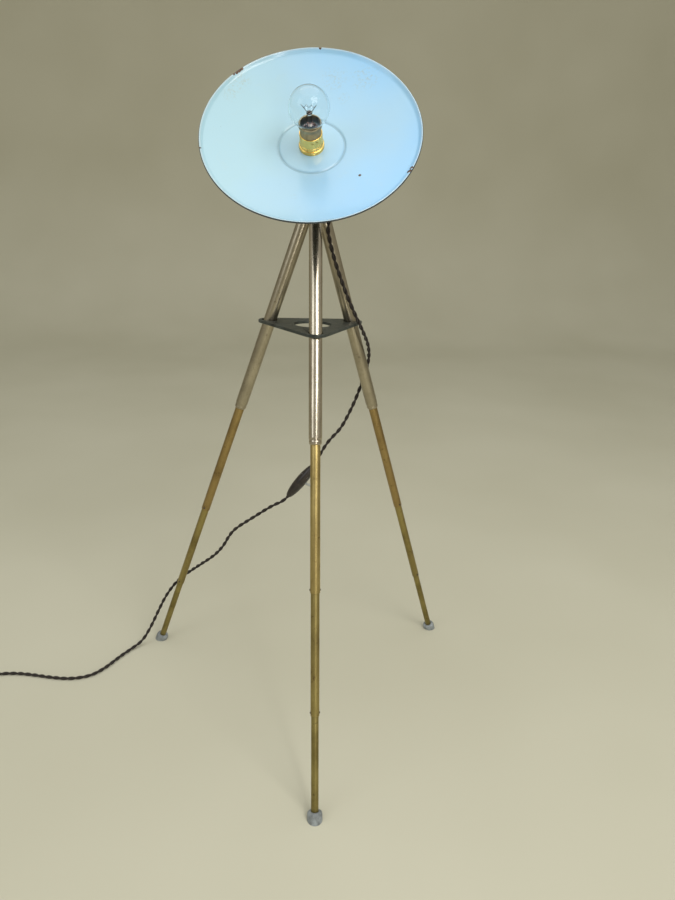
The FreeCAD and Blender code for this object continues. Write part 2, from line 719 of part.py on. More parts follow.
def make_spreader():
    body = doc.addObject("PartDesign::Body", "spreader_body")
    drop, thickness = dim("plate_drop"), dim("plate_thickness")
    height = hinge_height - drop * cosine(splay)
    reach = dim("hinge_radius") + drop * sine(splay)
    corner = dim("plate_corner")
    outline = sketch_on(body, "XY_Plane", "spreader_outline")
    turns = [azimuth - LEG_AZIMUTHS["front"] for azimuth in LEG_AZIMUTHS.values()]
    centres = [[reach * math.cos(math.radians(a)), reach * math.sin(math.radians(a))] for a in turns]
    middles = [Vector(centre[0].number, centre[1].number, 0) for centre in centres]
    # Each straight edge faces out halfway between the two legs that it joins.
    facing = [(turn + following) / 2 for turn, following in zip(turns, turns[1:] + [360.0])]
    for index, middle in enumerate(middles):
        circle = Part.Circle(middle, Vector(0, 0, 1), corner.number)
        start = facing[index - 1] - (360 if index == 0 else 0)
        outline.addGeometry(Part.ArcOfCircle(circle, math.radians(start), math.radians(facing[index])))
    for index, angle in enumerate(facing):
        normal = Vector(math.cos(math.radians(angle)), math.sin(math.radians(angle)), 0)
        ends = [middles[i % 3] + normal * corner.number for i in (index, index + 1)]
        outline.addGeometry(Part.LineSegment(*ends))
    for index in range(3):
        line, following = index + 3, (index + 1) % 3
        outline.addConstraint(Sketcher.Constraint("Tangent", index, 2, line, 1))
        outline.addConstraint(Sketcher.Constraint("Tangent", line, 2, following, 1))
        number = outline.addConstraint(Sketcher.Constraint("Radius", index, corner.number))
        outline.setExpression(f"Constraints[{number}]", corner.text)
        pin_point(outline, index, 3, *centres[index])
    pad = body.newObject("PartDesign::Pad", "spreader_pad")
    pad.Profile = outline
    bind(pad, Length=thickness)

    centre_hole = sketch_on(body, "XY_Plane", "spreader_centre_hole")
    centre_hole.addGeometry(Part.Circle(Vector(), Vector(0, 0, 1), dim("plate_hole").number))
    centre_hole.addConstraint(Sketcher.Constraint("Coincident", 0, 3, -1, 1))
    number = centre_hole.addConstraint(Sketcher.Constraint("Radius", 0, dim("plate_hole").number))
    centre_hole.setExpression(f"Constraints[{number}]", dim("plate_hole").text)
    pocket = body.newObject("PartDesign::Pocket", "spreader_centre_pocket")
    pocket.Profile = centre_hole
    pocket.Type = "ThroughAll"
    pocket.Midplane = True

    # Each leg hole is a short radial slot: the tube goes through it on a slant.
    half_width = dim("outer_radius") + dim("plate_gap_side")
    slant = dim("outer_radius") / cosine(splay) + thickness / 2 * splay_slope
    stretch = slant + dim("plate_gap_radial") - half_width
    far, near = reach + stretch, reach - stretch
    slots = []
    for turn in turns:
        along = [math.cos(math.radians(turn)), math.sin(math.radians(turn))]
        for end in (near, far):
            slots.append(cylinder(half_width, thickness, (end * along[0], end * along[1], 0)))
        corner_at = [
            near * along[0] + half_width * along[1], near * along[1] - half_width * along[0], 0,
        ]
        slots.append(box(far - near, half_width * 2, thickness, corner_at, about_z(turn)))
    plate = node(cut(body, *slots), "spreader_plate")
    put(plate, (0, axis_y, height - thickness / 2), about_z(LEG_AZIMUTHS["front"]))


# ---------------------------------------------------------------- cord, switch, plug

# The cord's points are set by hand, from the tripod's axis on the floor.
CORD_TO_SWITCH = [
    (17.7, -33.2, 950.6), (20.6, -38.7, 939.6), (20.8, -39.2, 925.0), (18.3, -34.4, 905.0),
    (23.5, -28.0, 884.0), (34.5, -18.6, 850.0),
    (54.4, -8.0, 802.0), (74.4, 3.0, 761.0), (91.0, 17.0, 731.0), (108.5, 47.0, 696.0),
    (112.5, 74.0, 660.0), (104.0, 82.0, 624.0), (94.0, 83.5, 590.0), (81.5, 86.5, 557.0),
    (66.0, 90.0, 523.0), (45.0, 93.0, 499.5), (30.5, 94.8, 475.0),
]
CORD_TO_COIL = [
    (-66.0, 108.0, 351.5), (-111.8, 116.0, 316.6), (-146.0, 121.5, 291.0), (-159.5, 124.5, 270.0),
    (-169.5, 129.0, 248.0), (-190.0, 138.5, 220.0), (-222.0, 152.0, 191.0), (-248.0, 166.0, 166.0),
    (-276.0, 170.0, 141.0), (-300.0, 167.0, 108.0), (-318.0, 160.0, 72.0), (-335.0, 150.0, 36.0),
    (-353.0, 136.0, 9.0), (-374.0, 117.0, 3.5), (-395.0, 88.0, 3.5), (-415.0, 54.0, 3.5),
    (-440.0, 28.0, 3.5), (-478.0, 20.0, 3.5), (-520.0, 27.0, 3.5), (-560.0, 38.0, 3.5),
    (-599.0, 45.0, 3.5), (-640.0, 42.0, 3.5),
]
SWITCH_LOW_END = Vector(-34.1, 104.0, 374.6)
SWITCH_AXIS = Vector(0.588, -0.084, 0.805).normalize()
SWITCH_FACE = Vector(0.72, -0.35, -0.5)      # the way its lever points, before squaring
COIL_CENTRE = Vector(-681.0, 2.0, 0.0)


def from_axis(point):
    return Vector(point[0], point[1] + axis_y.number, point[2])


def tube(label, points):
    """A tube whose straight runs are joined by arcs as large as the runs allow."""
    edges, length, place, radii = [], 0.0, points[0], []
    for before, corner, after in zip(points, points[1:], points[2:]):
        back, ahead = before - corner, after - corner
        half_turn = (math.pi - back.getAngle(ahead)) / 2
        reach = 0.45 * min(back.Length, ahead.Length)
        radius = reach / math.tan(half_turn)
        start = corner + back.normalize() * reach
        end = corner + ahead.normalize() * reach
        to_centre = (back + ahead).normalize()
        sagitta = radius / math.cos(half_turn) - radius
        edges.append(Part.LineSegment(place, start).toShape())
        edges.append(Part.Arc(start, corner + to_centre * sagitta, end).toShape())
        length += place.distanceToPoint(start) + 2 * half_turn * radius
        radii.append(round(radius, 1))
        place = end
    edges.append(Part.LineSegment(place, points[-1]).toShape())
    length += place.distanceToPoint(points[-1])
    radius = dim("cord_radius").number
    path = Part.Wire(edges)
    circle = Part.Circle(points[0], points[1] - points[0], radius).toShape()
    solid = path.makePipeShell([Part.Wire(circle)], True, False)
    wanted = math.pi * radius ** 2 * length
    print(f"{label}: length {length:.1f}, radii {radii}, volume ratio {solid.Volume / wanted:.4f}")
    feature = doc.addObject("Part::Feature", label)
    feature.Shape = solid
    nodes.append(feature)
    return length


def switch_node(thing, label):
    """Seats a piece made along Z from the switch's lower end, with Y the way the lever points."""
    across = SWITCH_FACE.cross(SWITCH_AXIS).normalize()
    face = SWITCH_AXIS.cross(across)
    at = (SWITCH_LOW_END.x, axis_y + SWITCH_LOW_END.y, SWITCH_LOW_END.z)
    return put(node(thing, label), at, Rotation(across, face, SWITCH_AXIS, "ZXY"))


def make_switch():
    length, width = dim("switch_length"), dim("switch_width")
    thickness, wall = dim("switch_thickness"), dim("switch_wall")
    middle = length / 2
    screw_radius = 1.5
    end_thickness = 12.0
    # The oval runs on a little past each cut-off end, where the cord goes in.
    oval_reach = length * 0.56

    def oval(reach, half_width, half_depth):
        piece = doc.addObject("Part::Ellipsoid", "oval")
        bind(piece, Radius1=reach, Radius2=half_width, Radius3=half_depth)
        return put(piece, (0, 0, middle))

    def screw_hole(side, long, start):
        at = (width * 0.31 * side, start, middle + length * 0.2 * side)
        return cylinder(screw_radius, long, at, ALONG_Y)

    def case_half(side):
        outside = oval(oval_reach, width / 2, thickness / 2)
        inside = oval(oval_reach - end_thickness, width / 2 - wall, thickness / 2 - wall)
        keep = box(width * 2, thickness, length, (-width, 0 if side > 0 else -thickness, 0))
        common = doc.addObject("Part::Common", "half")
        common.Base, common.Tool = outside, keep
        tools = [inside, cylinder(dim("cord_radius") - 0.6, length)]
        tools += [screw_hole(screw_side, thickness, thickness * -0.5) for screw_side in (-1, 1)]
        if side > 0:
            slot_length, slot_width = 15.0, dim("lever_radius") * 2 + 1.0
            tools.append(box(slot_width, thickness, slot_length, (
                slot_width * -0.5, 0, middle - slot_length / 2
            )))
        return cut(common, *tools)

    switch_node(case_half(1), "switch_cover")
    switch_node(case_half(-1), "switch_base")
    screw_length = thickness * 0.62
    screws = [screw_hole(side, screw_length, screw_length / -2) for side in (-1, 1)]
    switch_node(group(*screws), "switch_screws")
    contacts = [
        box(9.0, 2.0, 1.2, (-4.5, -thickness * 0.3, middle + offset)) for offset in (-9, 8)
    ]
    switch_node(group(*contacts), "switch_contacts")

    pivot = thickness / 2 - dim("pivot_depth")
    radius = dim("lever_radius")
    axle = cylinder(radius, radius * 3, (radius * -1.5, 0, 0), ALONG_X)
    stalk = cone(radius - 0.2, radius - 0.9, dim("lever_reach"))
    tip = doc.addObject("Part::Sphere", "lever_tip")
    bind(tip, Radius=radius - 0.4)
    put(tip, (0, 0, dim("lever_reach")))
    lever = fuse(axle, stalk, tip)
    put(lever, (0, pivot, middle), Rotation(Vector(1, 0, 0), -90 + dim("lever_lean").number))
    switch_node(group(lever), "switch_lever")


def make_coil():
    mean, cord = dim("coil_mean_radius"), dim("cord_radius")
    half = cord * dim("coil_turns_wide")
    height, edge = dim("coil_height"), 2.0
    coil = turned("cord_coil_ring", [
        (mean - half, edge), (mean - half + edge, 0), (mean + half - edge, 0), (mean + half, edge),
        (mean + half, height - edge), (mean + half - edge, height),
        (mean - half + edge, height), (mean - half, height - edge),
    ])
    put(node(coil, "cord_coil"), (COIL_CENTRE.x, axis_y + COIL_CENTRE.y, COIL_CENTRE.z))


def make_plug(tail_end):
    """A flat two-pin plug, lying on its side, that points forward."""
    length, width, thickness = dim("plug_length"), dim("plug_width"), dim("plug_thickness")
    edge, neck, sunk = 3.0, 8.0, 12.0
    forward = Rotation(Vector(1, 0, 0), 90)
    front = -length - neck
    block = box(width, length, thickness, (width * -0.5, front, 0))
    shoulder = cone(
        dim("cord_radius") + 1.4, thickness / 2 - 1, neck + 1, (0, 0, thickness / 2), forward
    )
    body = fuse(block, shoulder)
    rounded = doc.addObject("Part::Fillet", "plug_rounding")
    rounded.Base = block
    doc.recompute()
    rounded.Edges = [(number + 1, edge, edge) for number in range(len(block.Shape.Edges))]
    body.Shapes = [rounded, shoulder]
    holes = []
    pins = []
    for side in (-1, 1):
        root = (dim("plug_pin_spacing") / 2 * side, front + sunk, thickness / 2)
        holes.append(cylinder(dim("plug_pin_radius"), sunk, root, forward))
        pins.append(cylinder(
            dim("plug_pin_radius"), dim("plug_pin_length") + sunk, root, forward
        ))
    at = (tail_end.x, tail_end.y, 0)
    put(node(cut(body, *holes), "plug_body"), at)
    put(node(group(*pins), "plug_pins"), at)


make_stem(make_crown())
make_swivel()
make_holder()
make_shade()
make_bulb()
for leg_name in LEG_AZIMUTHS:
    make_leg(leg_name)
make_spreader()
make_switch()
make_coil()

outward = bush_direction()
bush_end = from_axis(outward * dim("bush_reach").number + Vector(0, 0, dim("bush_height").number))
switch_low = from_axis(SWITCH_LOW_END)
switch_high = switch_low + SWITCH_AXIS * dim("switch_length").number
straight_out, straight_in = 12.7, 16.0
upper = [bush_end, bush_end + outward * straight_out]
upper += [from_axis(point) for point in CORD_TO_SWITCH]
upper += [switch_high]
tube("cord_to_switch", upper)
lower = [switch_low, switch_low - SWITCH_AXIS * straight_in]
lower += [from_axis(point) for point in CORD_TO_COIL]
coil_outer = dim("coil_mean_radius").number + dim("cord_radius").number * 2
coil_middle = from_axis(COIL_CENTRE)
lower += [coil_middle + Vector(0, coil_outer, dim("cord_radius").number)]
tube("cord_to_coil", lower)
half_plug = dim("plug_thickness").number / 2
tail = [
    coil_middle + Vector(-coil_outer, 0, dim("coil_height").number - dim("cord_radius").number),
    coil_middle + Vector(-coil_outer, -26, 8.0),
    coil_middle + Vector(-coil_outer - 2, -48, half_plug - 0.2),
    coil_middle + Vector(-coil_outer - 2, -66, half_plug),
]
tube("cord_tail", tail)
make_plug(tail[-1])

doc.recompute()
for thing in doc.Objects:
    if "Invalid" in thing.State or "Error" in thing.State:
        raise RuntimeError(f"{thing.Label} failed to build: {thing.State}")
os.makedirs("parts", exist_ok=True)
for thing in nodes:
    if thing.Shape.isNull() or not thing.Shape.isValid() or thing.Shape.Volume <= 0:
        raise RuntimeError(f"{thing.Label} has no valid solid")
    thing.Shape.exportStep(f"parts/{thing.Label}.step")
print(len(nodes), "sub-parts")
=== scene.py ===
import json
import math

import bmesh
import bpy
from mathutils import Matrix, Vector, noise


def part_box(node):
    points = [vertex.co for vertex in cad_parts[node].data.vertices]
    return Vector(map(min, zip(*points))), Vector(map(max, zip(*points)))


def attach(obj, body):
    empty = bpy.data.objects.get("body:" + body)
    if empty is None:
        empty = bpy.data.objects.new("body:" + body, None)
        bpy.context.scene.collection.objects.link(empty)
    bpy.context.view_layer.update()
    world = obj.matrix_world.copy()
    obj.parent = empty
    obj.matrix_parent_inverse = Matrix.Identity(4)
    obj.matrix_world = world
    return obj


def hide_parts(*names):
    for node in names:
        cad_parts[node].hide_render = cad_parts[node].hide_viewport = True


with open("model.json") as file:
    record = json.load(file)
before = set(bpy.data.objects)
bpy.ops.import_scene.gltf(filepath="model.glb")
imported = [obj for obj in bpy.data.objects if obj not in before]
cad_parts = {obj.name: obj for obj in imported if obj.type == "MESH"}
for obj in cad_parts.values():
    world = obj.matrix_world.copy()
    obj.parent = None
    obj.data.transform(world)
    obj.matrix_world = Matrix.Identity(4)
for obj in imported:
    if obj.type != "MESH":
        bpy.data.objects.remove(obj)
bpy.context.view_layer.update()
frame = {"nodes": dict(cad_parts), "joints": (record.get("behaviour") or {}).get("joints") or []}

MM = 0.001
JOINTS = {joint["name"]: joint for joint in frame["joints"]}
LEGS = ("front", "right", "left")


def middle(node):
    low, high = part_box(node)
    return (low + high) / 2


# The tripod's axis is the stem's, and the head turns about the tilt joint.
AXIS_Y = middle("stem").y
TILT = Vector(JOINTS["lamp_tilt"]["pos_m"])
TILT_AXIS = Vector(JOINTS["lamp_tilt"]["axis"]).normalized()


# ---------------------------------------------------------------- camera

def make_camera():
    """A 28 mm view from a standing reach, looking down at the lamp and slightly rolled."""
    yaw, pitch, roll = 0.1075, 0.3479, 0.0384
    distance, side, height = 1.2256, 0.0518, 0.9585
    camera = bpy.data.objects.new("camera", bpy.data.cameras.new("camera"))
    camera.data.sensor_width = 36.0
    camera.data.lens = 28.21
    camera.data.clip_start = 0.02
    turn = Matrix.Rotation(-yaw, 4, "Z")
    look = Matrix.Rotation(math.pi / 2 - pitch, 4, "X") @ Matrix.Rotation(roll, 4, "Z")
    place = Matrix.Translation((0, AXIS_Y, 0)) @ turn @ Matrix.Translation((side, -distance, height))
    camera.matrix_world = place @ look
    bpy.context.scene.collection.objects.link(camera)
    bpy.context.scene.camera = camera


make_camera()


# ---------------------------------------------------------------- small tools

def add(name, mesh, material=None):
    piece = bpy.data.objects.new(name, mesh)
    bpy.context.scene.collection.objects.link(piece)
    if material:
        mesh.materials.append(material)
    return piece


def soften(mesh, angle=35.0):
    """Smooth shading, with edges sharper than the angle left crisp."""
    work = bmesh.new()
    work.from_mesh(mesh)
    for face in work.faces:
        face.smooth = True
    for edge in work.edges:
        if len(edge.link_faces) == 2:
            edge.smooth = edge.calc_face_angle(0.0) < math.radians(angle)
    work.to_mesh(mesh)
    work.free()


def lathe(name, outline, place, segments=96, material=None, wobble=None):
    """Turns an outline of (radius, height) in metres about Z, then seats it by a matrix.

    The UV map runs round the piece in U and along it in V, both in metres."""
    mesh = bpy.data.meshes.new(name)
    work = bmesh.new()
    rings = []
    for radius, height in outline:
        if radius < 1e-7:
            point = Vector((0, 0, height))
            rings.append([work.verts.new(wobble(point, 0.0) if wobble else point)])
            continue
        ring = []
        for index in range(segments):
            angle = math.tau * index / segments
            point = Vector((radius * math.cos(angle), radius * math.sin(angle), height))
            ring.append(work.verts.new(wobble(point, angle) if wobble else point))
        rings.append(ring)
    lengths = [0.0]
    for before, after in zip(outline, outline[1:] + outline[:1]):
        lengths.append(lengths[-1] + math.hypot(after[0] - before[0], after[1] - before[1]))
    layer = work.loops.layers.uv.new("UVMap")
    girth = max(radius for radius, height in outline) * math.tau
    pairs = list(zip(range(len(rings)), range(1, len(rings))))
    if rings[0] != rings[-1] and len(rings[0]) > 1 and len(rings[-1]) > 1:
        pairs.append((len(rings) - 1, 0))
    for one, two in pairs:
        low, high = rings[one], rings[two]
        if len(low) == 1 and len(high) == 1:
            continue
        for index in range(segments):
            nxt = (index + 1) % segments
            corners = [(low[index % len(low)], index, lengths[one])]
            if len(low) > 1:
                corners.append((low[nxt], index + 1, lengths[one]))
            above = lengths[one + 1]
            if len(high) > 1:
                corners.append((high[nxt], index + 1, above))
            corners.append((high[index % len(high)], index, above))
            face = work.faces.new([corner[0] for corner in corners])
            for loop, corner in zip(face.loops, corners):
                loop[layer].uv = (girth * corner[1] / segments, corner[2])
    bmesh.ops.recalc_face_normals(work, faces=work.faces)
    work.to_mesh(mesh)
    work.free()
    soften(mesh)
    piece = add(name, mesh, material)
    piece.matrix_world = place
    return piece


def bevel(piece, width, segments=2, angle=30.0):
    modifier = piece.modifiers.new("edges", "BEVEL")
    modifier.width = width
    modifier.segments = segments
    modifier.limit_method = "ANGLE"
    modifier.angle_limit = math.radians(angle)
    modifier.harden_normals = False


def dress(node, material, width=0.0):
    """Gives a CAD node its material, smooth shading and softened edges."""
    piece = frame["nodes"][node]
    piece.data.materials.clear()
    piece.data.materials.append(material)
    for face in piece.data.polygons:
        face.use_smooth = True
    weld = piece.modifiers.new("weld", "WELD")
    weld.merge_threshold = 0.00001
    if width:
        bevel(piece, width)
    smooth = piece.modifiers.new("normals", "WEIGHTED_NORMAL")
    smooth.keep_sharp = True
    return piece


# ---------------------------------------------------------------- materials

class Shader:
    """A short way to write a procedural material."""

    def __init__(self, name):
        self.material = bpy.data.materials.new(name)
        self.material.use_nodes = True
        self.tree = self.material.node_tree
        self.base = self.tree.nodes["Principled BSDF"]
        self.coordinates = self.tree.nodes.new("ShaderNodeTexCoord")

    def set(self, **values):
        for name, value in values.items():
            socket = self.base.inputs[name.replace("_", " ")]
            if isinstance(value, (int, float)):
                socket.default_value = value
            elif isinstance(value, (tuple, list)):
                socket.default_value = (*value, 1.0)[:4] if len(value) == 3 else value
            else:
                self.tree.links.new(value, socket)
        return self

    def link(self, value, socket):
        if isinstance(value, (int, float)):
            socket.default_value = value
        elif isinstance(value, (tuple, list)):
            socket.default_value = (*value, 1.0) if len(socket.default_value) == 4 else value
        else:
            self.tree.links.new(value, socket)

    def place(self, scale=(1, 1, 1)):
        mapping = self.tree.nodes.new("ShaderNodeMapping")
        mapping.inputs["Scale"].default_value = scale
        self.tree.links.new(self.coordinates.outputs["Object"], mapping.inputs["Vector"])
        return mapping.outputs["Vector"]

    def noise(self, scale, detail=4.0, rough=0.55, stretch=(1, 1, 1), distortion=0.0):
        node = self.tree.nodes.new("ShaderNodeTexNoise")
        node.inputs["Scale"].default_value = scale
        node.inputs["Detail"].default_value = detail
        node.inputs["Roughness"].default_value = rough
        node.inputs["Distortion"].default_value = distortion
        self.tree.links.new(self.place(stretch), node.inputs["Vector"])
        return node.outputs["Fac"]

    def ramp(self, value, *stops):
        node = self.tree.nodes.new("ShaderNodeValToRGB")
        elements = node.color_ramp.elements
        while len(elements) < len(stops):
            elements.new(0.5)
        for element, (position, colour) in zip(elements, stops):
            element.position = position
            colour = (colour,) * 3 if isinstance(colour, (int, float)) else colour
            element.color = (*colour, 1.0)
        self.link(value, node.inputs["Fac"])
        return node.outputs["Color"]

    def mix(self, factor, one, two, blend="MIX"):
        node = self.tree.nodes.new("ShaderNodeMix")
        node.data_type = "RGBA"
        node.blend_type = blend
        self.link(factor, node.inputs[0])
        self.link(one, node.inputs[6])
        self.link(two, node.inputs[7])
        return node.outputs[2]

    def math(self, operation, one, two=0.0, clamp=False):
        node = self.tree.nodes.new("ShaderNodeMath")
        node.operation = operation
        node.use_clamp = clamp
        self.link(one, node.inputs[0])
        self.link(two, node.inputs[1])
        return node.outputs[0]

    def within(self, centre, radius, soft=0.002):
        """One inside a ball about a point in the part's frame, nought outside."""
        node = self.tree.nodes.new("ShaderNodeVectorMath")
        node.operation = "DISTANCE"
        self.tree.links.new(self.coordinates.outputs["Object"], node.inputs[0])
        node.inputs[1].default_value = centre
        spread = self.tree.nodes.new("ShaderNodeMapRange")
        spread.inputs["From Min"].default_value = radius + soft
        spread.inputs["From Max"].default_value = radius - soft
        self.tree.links.new(node.outputs["Value"], spread.inputs["Value"])
        return spread.outputs["Result"]

    def component(self, axis, kind="Object"):
        node = self.tree.nodes.new("ShaderNodeSeparateXYZ")
        self.tree.links.new(self.coordinates.outputs[kind], node.inputs[0])
        return node.outputs[axis]

    def bump(self, height, strength=0.3, distance=0.0005):
        node = self.tree.nodes.new("ShaderNodeBump")
        node.inputs["Strength"].default_value = strength
        node.inputs["Distance"].default_value = distance
        self.link(height, node.inputs["Height"])
        self.tree.links.new(node.outputs["Normal"], self.base.inputs["Normal"])
        return self


def metal(name, light, dark, stain, rough=(0.2, 0.45), grain=1.0, cloud=18.0, cover=(0.42, 0.68)):
    """Old metal: a bright colour under clouds of tarnish, with fine lengthwise wear."""
    shader = Shader(name)
    clouds = shader.noise(cloud, 7.0, 0.62, (1, 1, 0.6), distortion=0.4)
    specks = shader.noise(420.0, 3.0, 0.6)
    streaks = shader.noise(900.0, 2.0, 0.5, (1, 1, 0.04))
    base = shader.mix(shader.ramp(clouds, (cover[0], 0.0), (cover[1], 1.0)), light, dark)
    spots = shader.ramp(shader.noise(95.0, 6.0, 0.7), (0.60, 0.0), (0.70, 1.0))
    base = shader.mix(shader.math("MULTIPLY", spots, 0.75), base, stain)
    dots = shader.math("MULTIPLY", shader.ramp(specks, (0.55, 0.0), (0.75, 1.0)), 0.35)
    base = shader.mix(dots, base, dark)
    roughness = shader.math("ADD", shader.math("MULTIPLY", clouds, rough[1] - rough[0]), rough[0])
    roughness = shader.math("ADD", roughness, shader.math("MULTIPLY", spots, 0.22), clamp=True)
    shader.set(Base_Color=base, Metallic=1.0, Roughness=roughness)
    wear = shader.math("MULTIPLY", streaks, 0.5 * grain)
    height = shader.math("ADD", wear, shader.math("MULTIPLY", specks, 0.6))
    shader.bump(height, 0.16, 0.0002)
    return shader.material


def make_materials():
    made = {}
    made["nickel"] = metal(
        "nickel", (0.58, 0.52, 0.41), (0.24, 0.19, 0.14), (0.09, 0.06, 0.04), (0.14, 0.34), 1.2, 14.0,
        (0.44, 0.78),
    )
    # Painted shade: a darker, browner copy of the nickel for the two side legs.
    made["shaded_side_nickel"] = metal(
        "shaded_side_nickel", (0.44, 0.39, 0.29), (0.20, 0.17, 0.12), (0.08, 0.06, 0.04), (0.22, 0.44), 1.2, 14.0,
        (0.44, 0.78),
    )
    # Painted shade: a darker copy of the golden brass for the side legs' first brass tubes.
    made["shaded_side_brass"] = metal(
        "shaded_side_brass", (0.38, 0.27, 0.11), (0.22, 0.15, 0.06), (0.10, 0.06, 0.03), (0.3, 0.55), 1.0, 22.0
    )
    made["golden_brass"] = metal(
        "golden_brass", (0.50, 0.39, 0.16), (0.28, 0.21, 0.08), (0.13, 0.08, 0.03), (0.26, 0.55), 1.0, 22.0
    )
    made["olive_brass"] = metal(
        "olive_brass", (0.33, 0.27, 0.10), (0.18, 0.14, 0.05), (0.09, 0.05, 0.03), (0.32, 0.6), 1.0, 26.0
    )
    made["turned_brass"] = metal(
        "turned_brass", (1.0, 0.70, 0.22), (0.62, 0.42, 0.11), (0.25, 0.14, 0.04), (0.16, 0.36), 0.8, 60.0,
        (0.48, 0.80),
    )
    made["dull_brass"] = metal(
        "dull_brass", (0.50, 0.37, 0.17), (0.26, 0.19, 0.10), (0.10, 0.07, 0.04), (0.28, 0.5), 0.8, 60.0
    )
    made["middle_brass"] = metal(
        "middle_brass", (0.36, 0.29, 0.11), (0.21, 0.16, 0.06), (0.12, 0.06, 0.03), (0.3, 0.6), 1.0, 20.0
    )
    made["aged_brass"] = metal(
        "aged_brass", (0.48, 0.40, 0.25), (0.26, 0.20, 0.12), (0.05, 0.03, 0.02), (0.3, 0.55), 0.8, 60.0
    )
    made["steel"] = metal(
        "steel", (0.52, 0.50, 0.47), (0.28, 0.26, 0.24), (0.14, 0.08, 0.05), (0.25, 0.5), 1.0, 70.0
    )
    made["dark_steel"] = metal(
        "dark_steel", (0.16, 0.14, 0.12), (0.07, 0.06, 0.05), (0.05, 0.03, 0.02), (0.4, 0.6), 1.0, 90.0
    )

    rubber = Shader("grey_rubber")
    grime = rubber.noise(70.0, 6.0, 0.65)
    rubber.set(
        Base_Color=rubber.ramp(
            grime, (0.32, (0.14, 0.15, 0.15)), (0.62, (0.31, 0.34, 0.35)), (0.8, (0.42, 0.45, 0.46))
        ),
        Roughness=rubber.ramp(grime, (0.3, 0.85), (0.7, 0.6)),
    )
    rubber.bump(rubber.noise(600.0, 4.0, 0.6), 0.25, 0.0003)
    made["rubber"] = rubber.material

    fibre = Shader("fibre")
    fibre.set(
        Base_Color=fibre.ramp(fibre.noise(300.0, 4.0), (0.3, (0.2, 0.1, 0.05)), (0.7, (0.35, 0.2, 0.12))),
        Roughness=0.75,
    )
    fibre.bump(fibre.noise(900.0, 3.0), 0.2, 0.0002)
    made["fibre"] = fibre.material

    bakelite = Shader("bakelite")
    marble = bakelite.noise(45.0, 5.0, 0.6, distortion=1.2)
    bakelite.set(
        Base_Color=bakelite.ramp(
            marble,
            (0.35, (0.010, 0.007, 0.006)), (0.6, (0.022, 0.015, 0.012)), (0.75, (0.045, 0.028, 0.020)),
        ),
        Roughness=bakelite.ramp(bakelite.noise(120.0, 5.0), (0.3, 0.24), (0.75, 0.48)),
        Coat_Weight=0.25, Coat_Roughness=0.2,
    )
    bakelite.bump(bakelite.noise(700.0, 4.0), 0.12, 0.0002)
    made["bakelite"] = bakelite.material

    porcelain = Shader("porcelain")
    porcelain.set(
        Base_Color=porcelain.ramp(
            porcelain.noise(60.0, 4.0), (0.3, (0.72, 0.70, 0.64)), (0.7, (0.85, 0.84, 0.80))
        ),
        Roughness=0.22, Coat_Weight=0.6,
    )
    made["porcelain"] = porcelain.material

    toggle = Shader("grey_toggle")
    toggle.set(
        Base_Color=toggle.ramp(
            toggle.noise(200.0, 5.0), (0.3, (0.30, 0.31, 0.29)), (0.7, (0.52, 0.54, 0.50))
        ),
        Roughness=toggle.ramp(toggle.noise(300.0, 4.0), (0.3, 0.3), (0.7, 0.5)),
    )
    toggle.bump(toggle.noise(900.0, 3.0), 0.1, 0.0002)
    made["toggle"] = toggle.material

    plate = Shader("black_paint")
    wear = plate.noise(60.0, 8.0, 0.68, distortion=0.3)
    scratch = plate.noise(700.0, 3.0, 0.6, (1, 0.12, 1))
    colour = plate.ramp(
        wear, (0.35, (0.020, 0.024, 0.022)), (0.55, (0.055, 0.065, 0.058)), (0.75, (0.12, 0.13, 0.115))
    )
    rust = plate.ramp(plate.noise(180.0, 6.0, 0.7), (0.66, 0.0), (0.74, 1.0))
    colour = plate.mix(plate.math("MULTIPLY", rust, 0.8), colour, (0.13, 0.065, 0.03))
    plate.set(Base_Color=colour, Roughness=plate.ramp(wear, (0.3, 0.32), (0.75, 0.62)), Metallic=0.25)
    plate.bump(plate.math("ADD", wear, plate.math("MULTIPLY", scratch, 0.4)), 0.2, 0.0003)
    made["plate"] = plate.material

    glass = Shader("clear_glass")
    glass.set(Base_Color=(0.97, 0.985, 0.98), Transmission_Weight=1.0, IOR=1.25)
    glass.set(Roughness=glass.ramp(glass.noise(40.0, 4.0), (0.35, 0.0), (0.8, 0.05)))
    made["glass"] = glass.material

    filament = Shader("filament")
    filament.set(
        Base_Color=filament.ramp(
            filament.noise(900.0), (0.3, (0.10, 0.09, 0.08)), (0.7, (0.24, 0.22, 0.20))
        ),
        Metallic=1.0, Roughness=0.4,
    )
    made["filament"] = filament.material

    made["flex"] = make_flex()
    made["enamel"] = make_enamel()
    made["enamel_back"] = make_enamel_back()
    # The bulb's cap in a purple-brown metal: painted shade and reflection for the dark mouth of the holder
    # seen through the glass.
    made["painted_reflection_cap"] = metal(
        "painted_reflection_cap", (0.70, 0.56, 0.54), (0.32, 0.23, 0.22), (0.35, 0.20, 0.15), (0.10, 0.3), 0.4, 140.0
    )
    return made


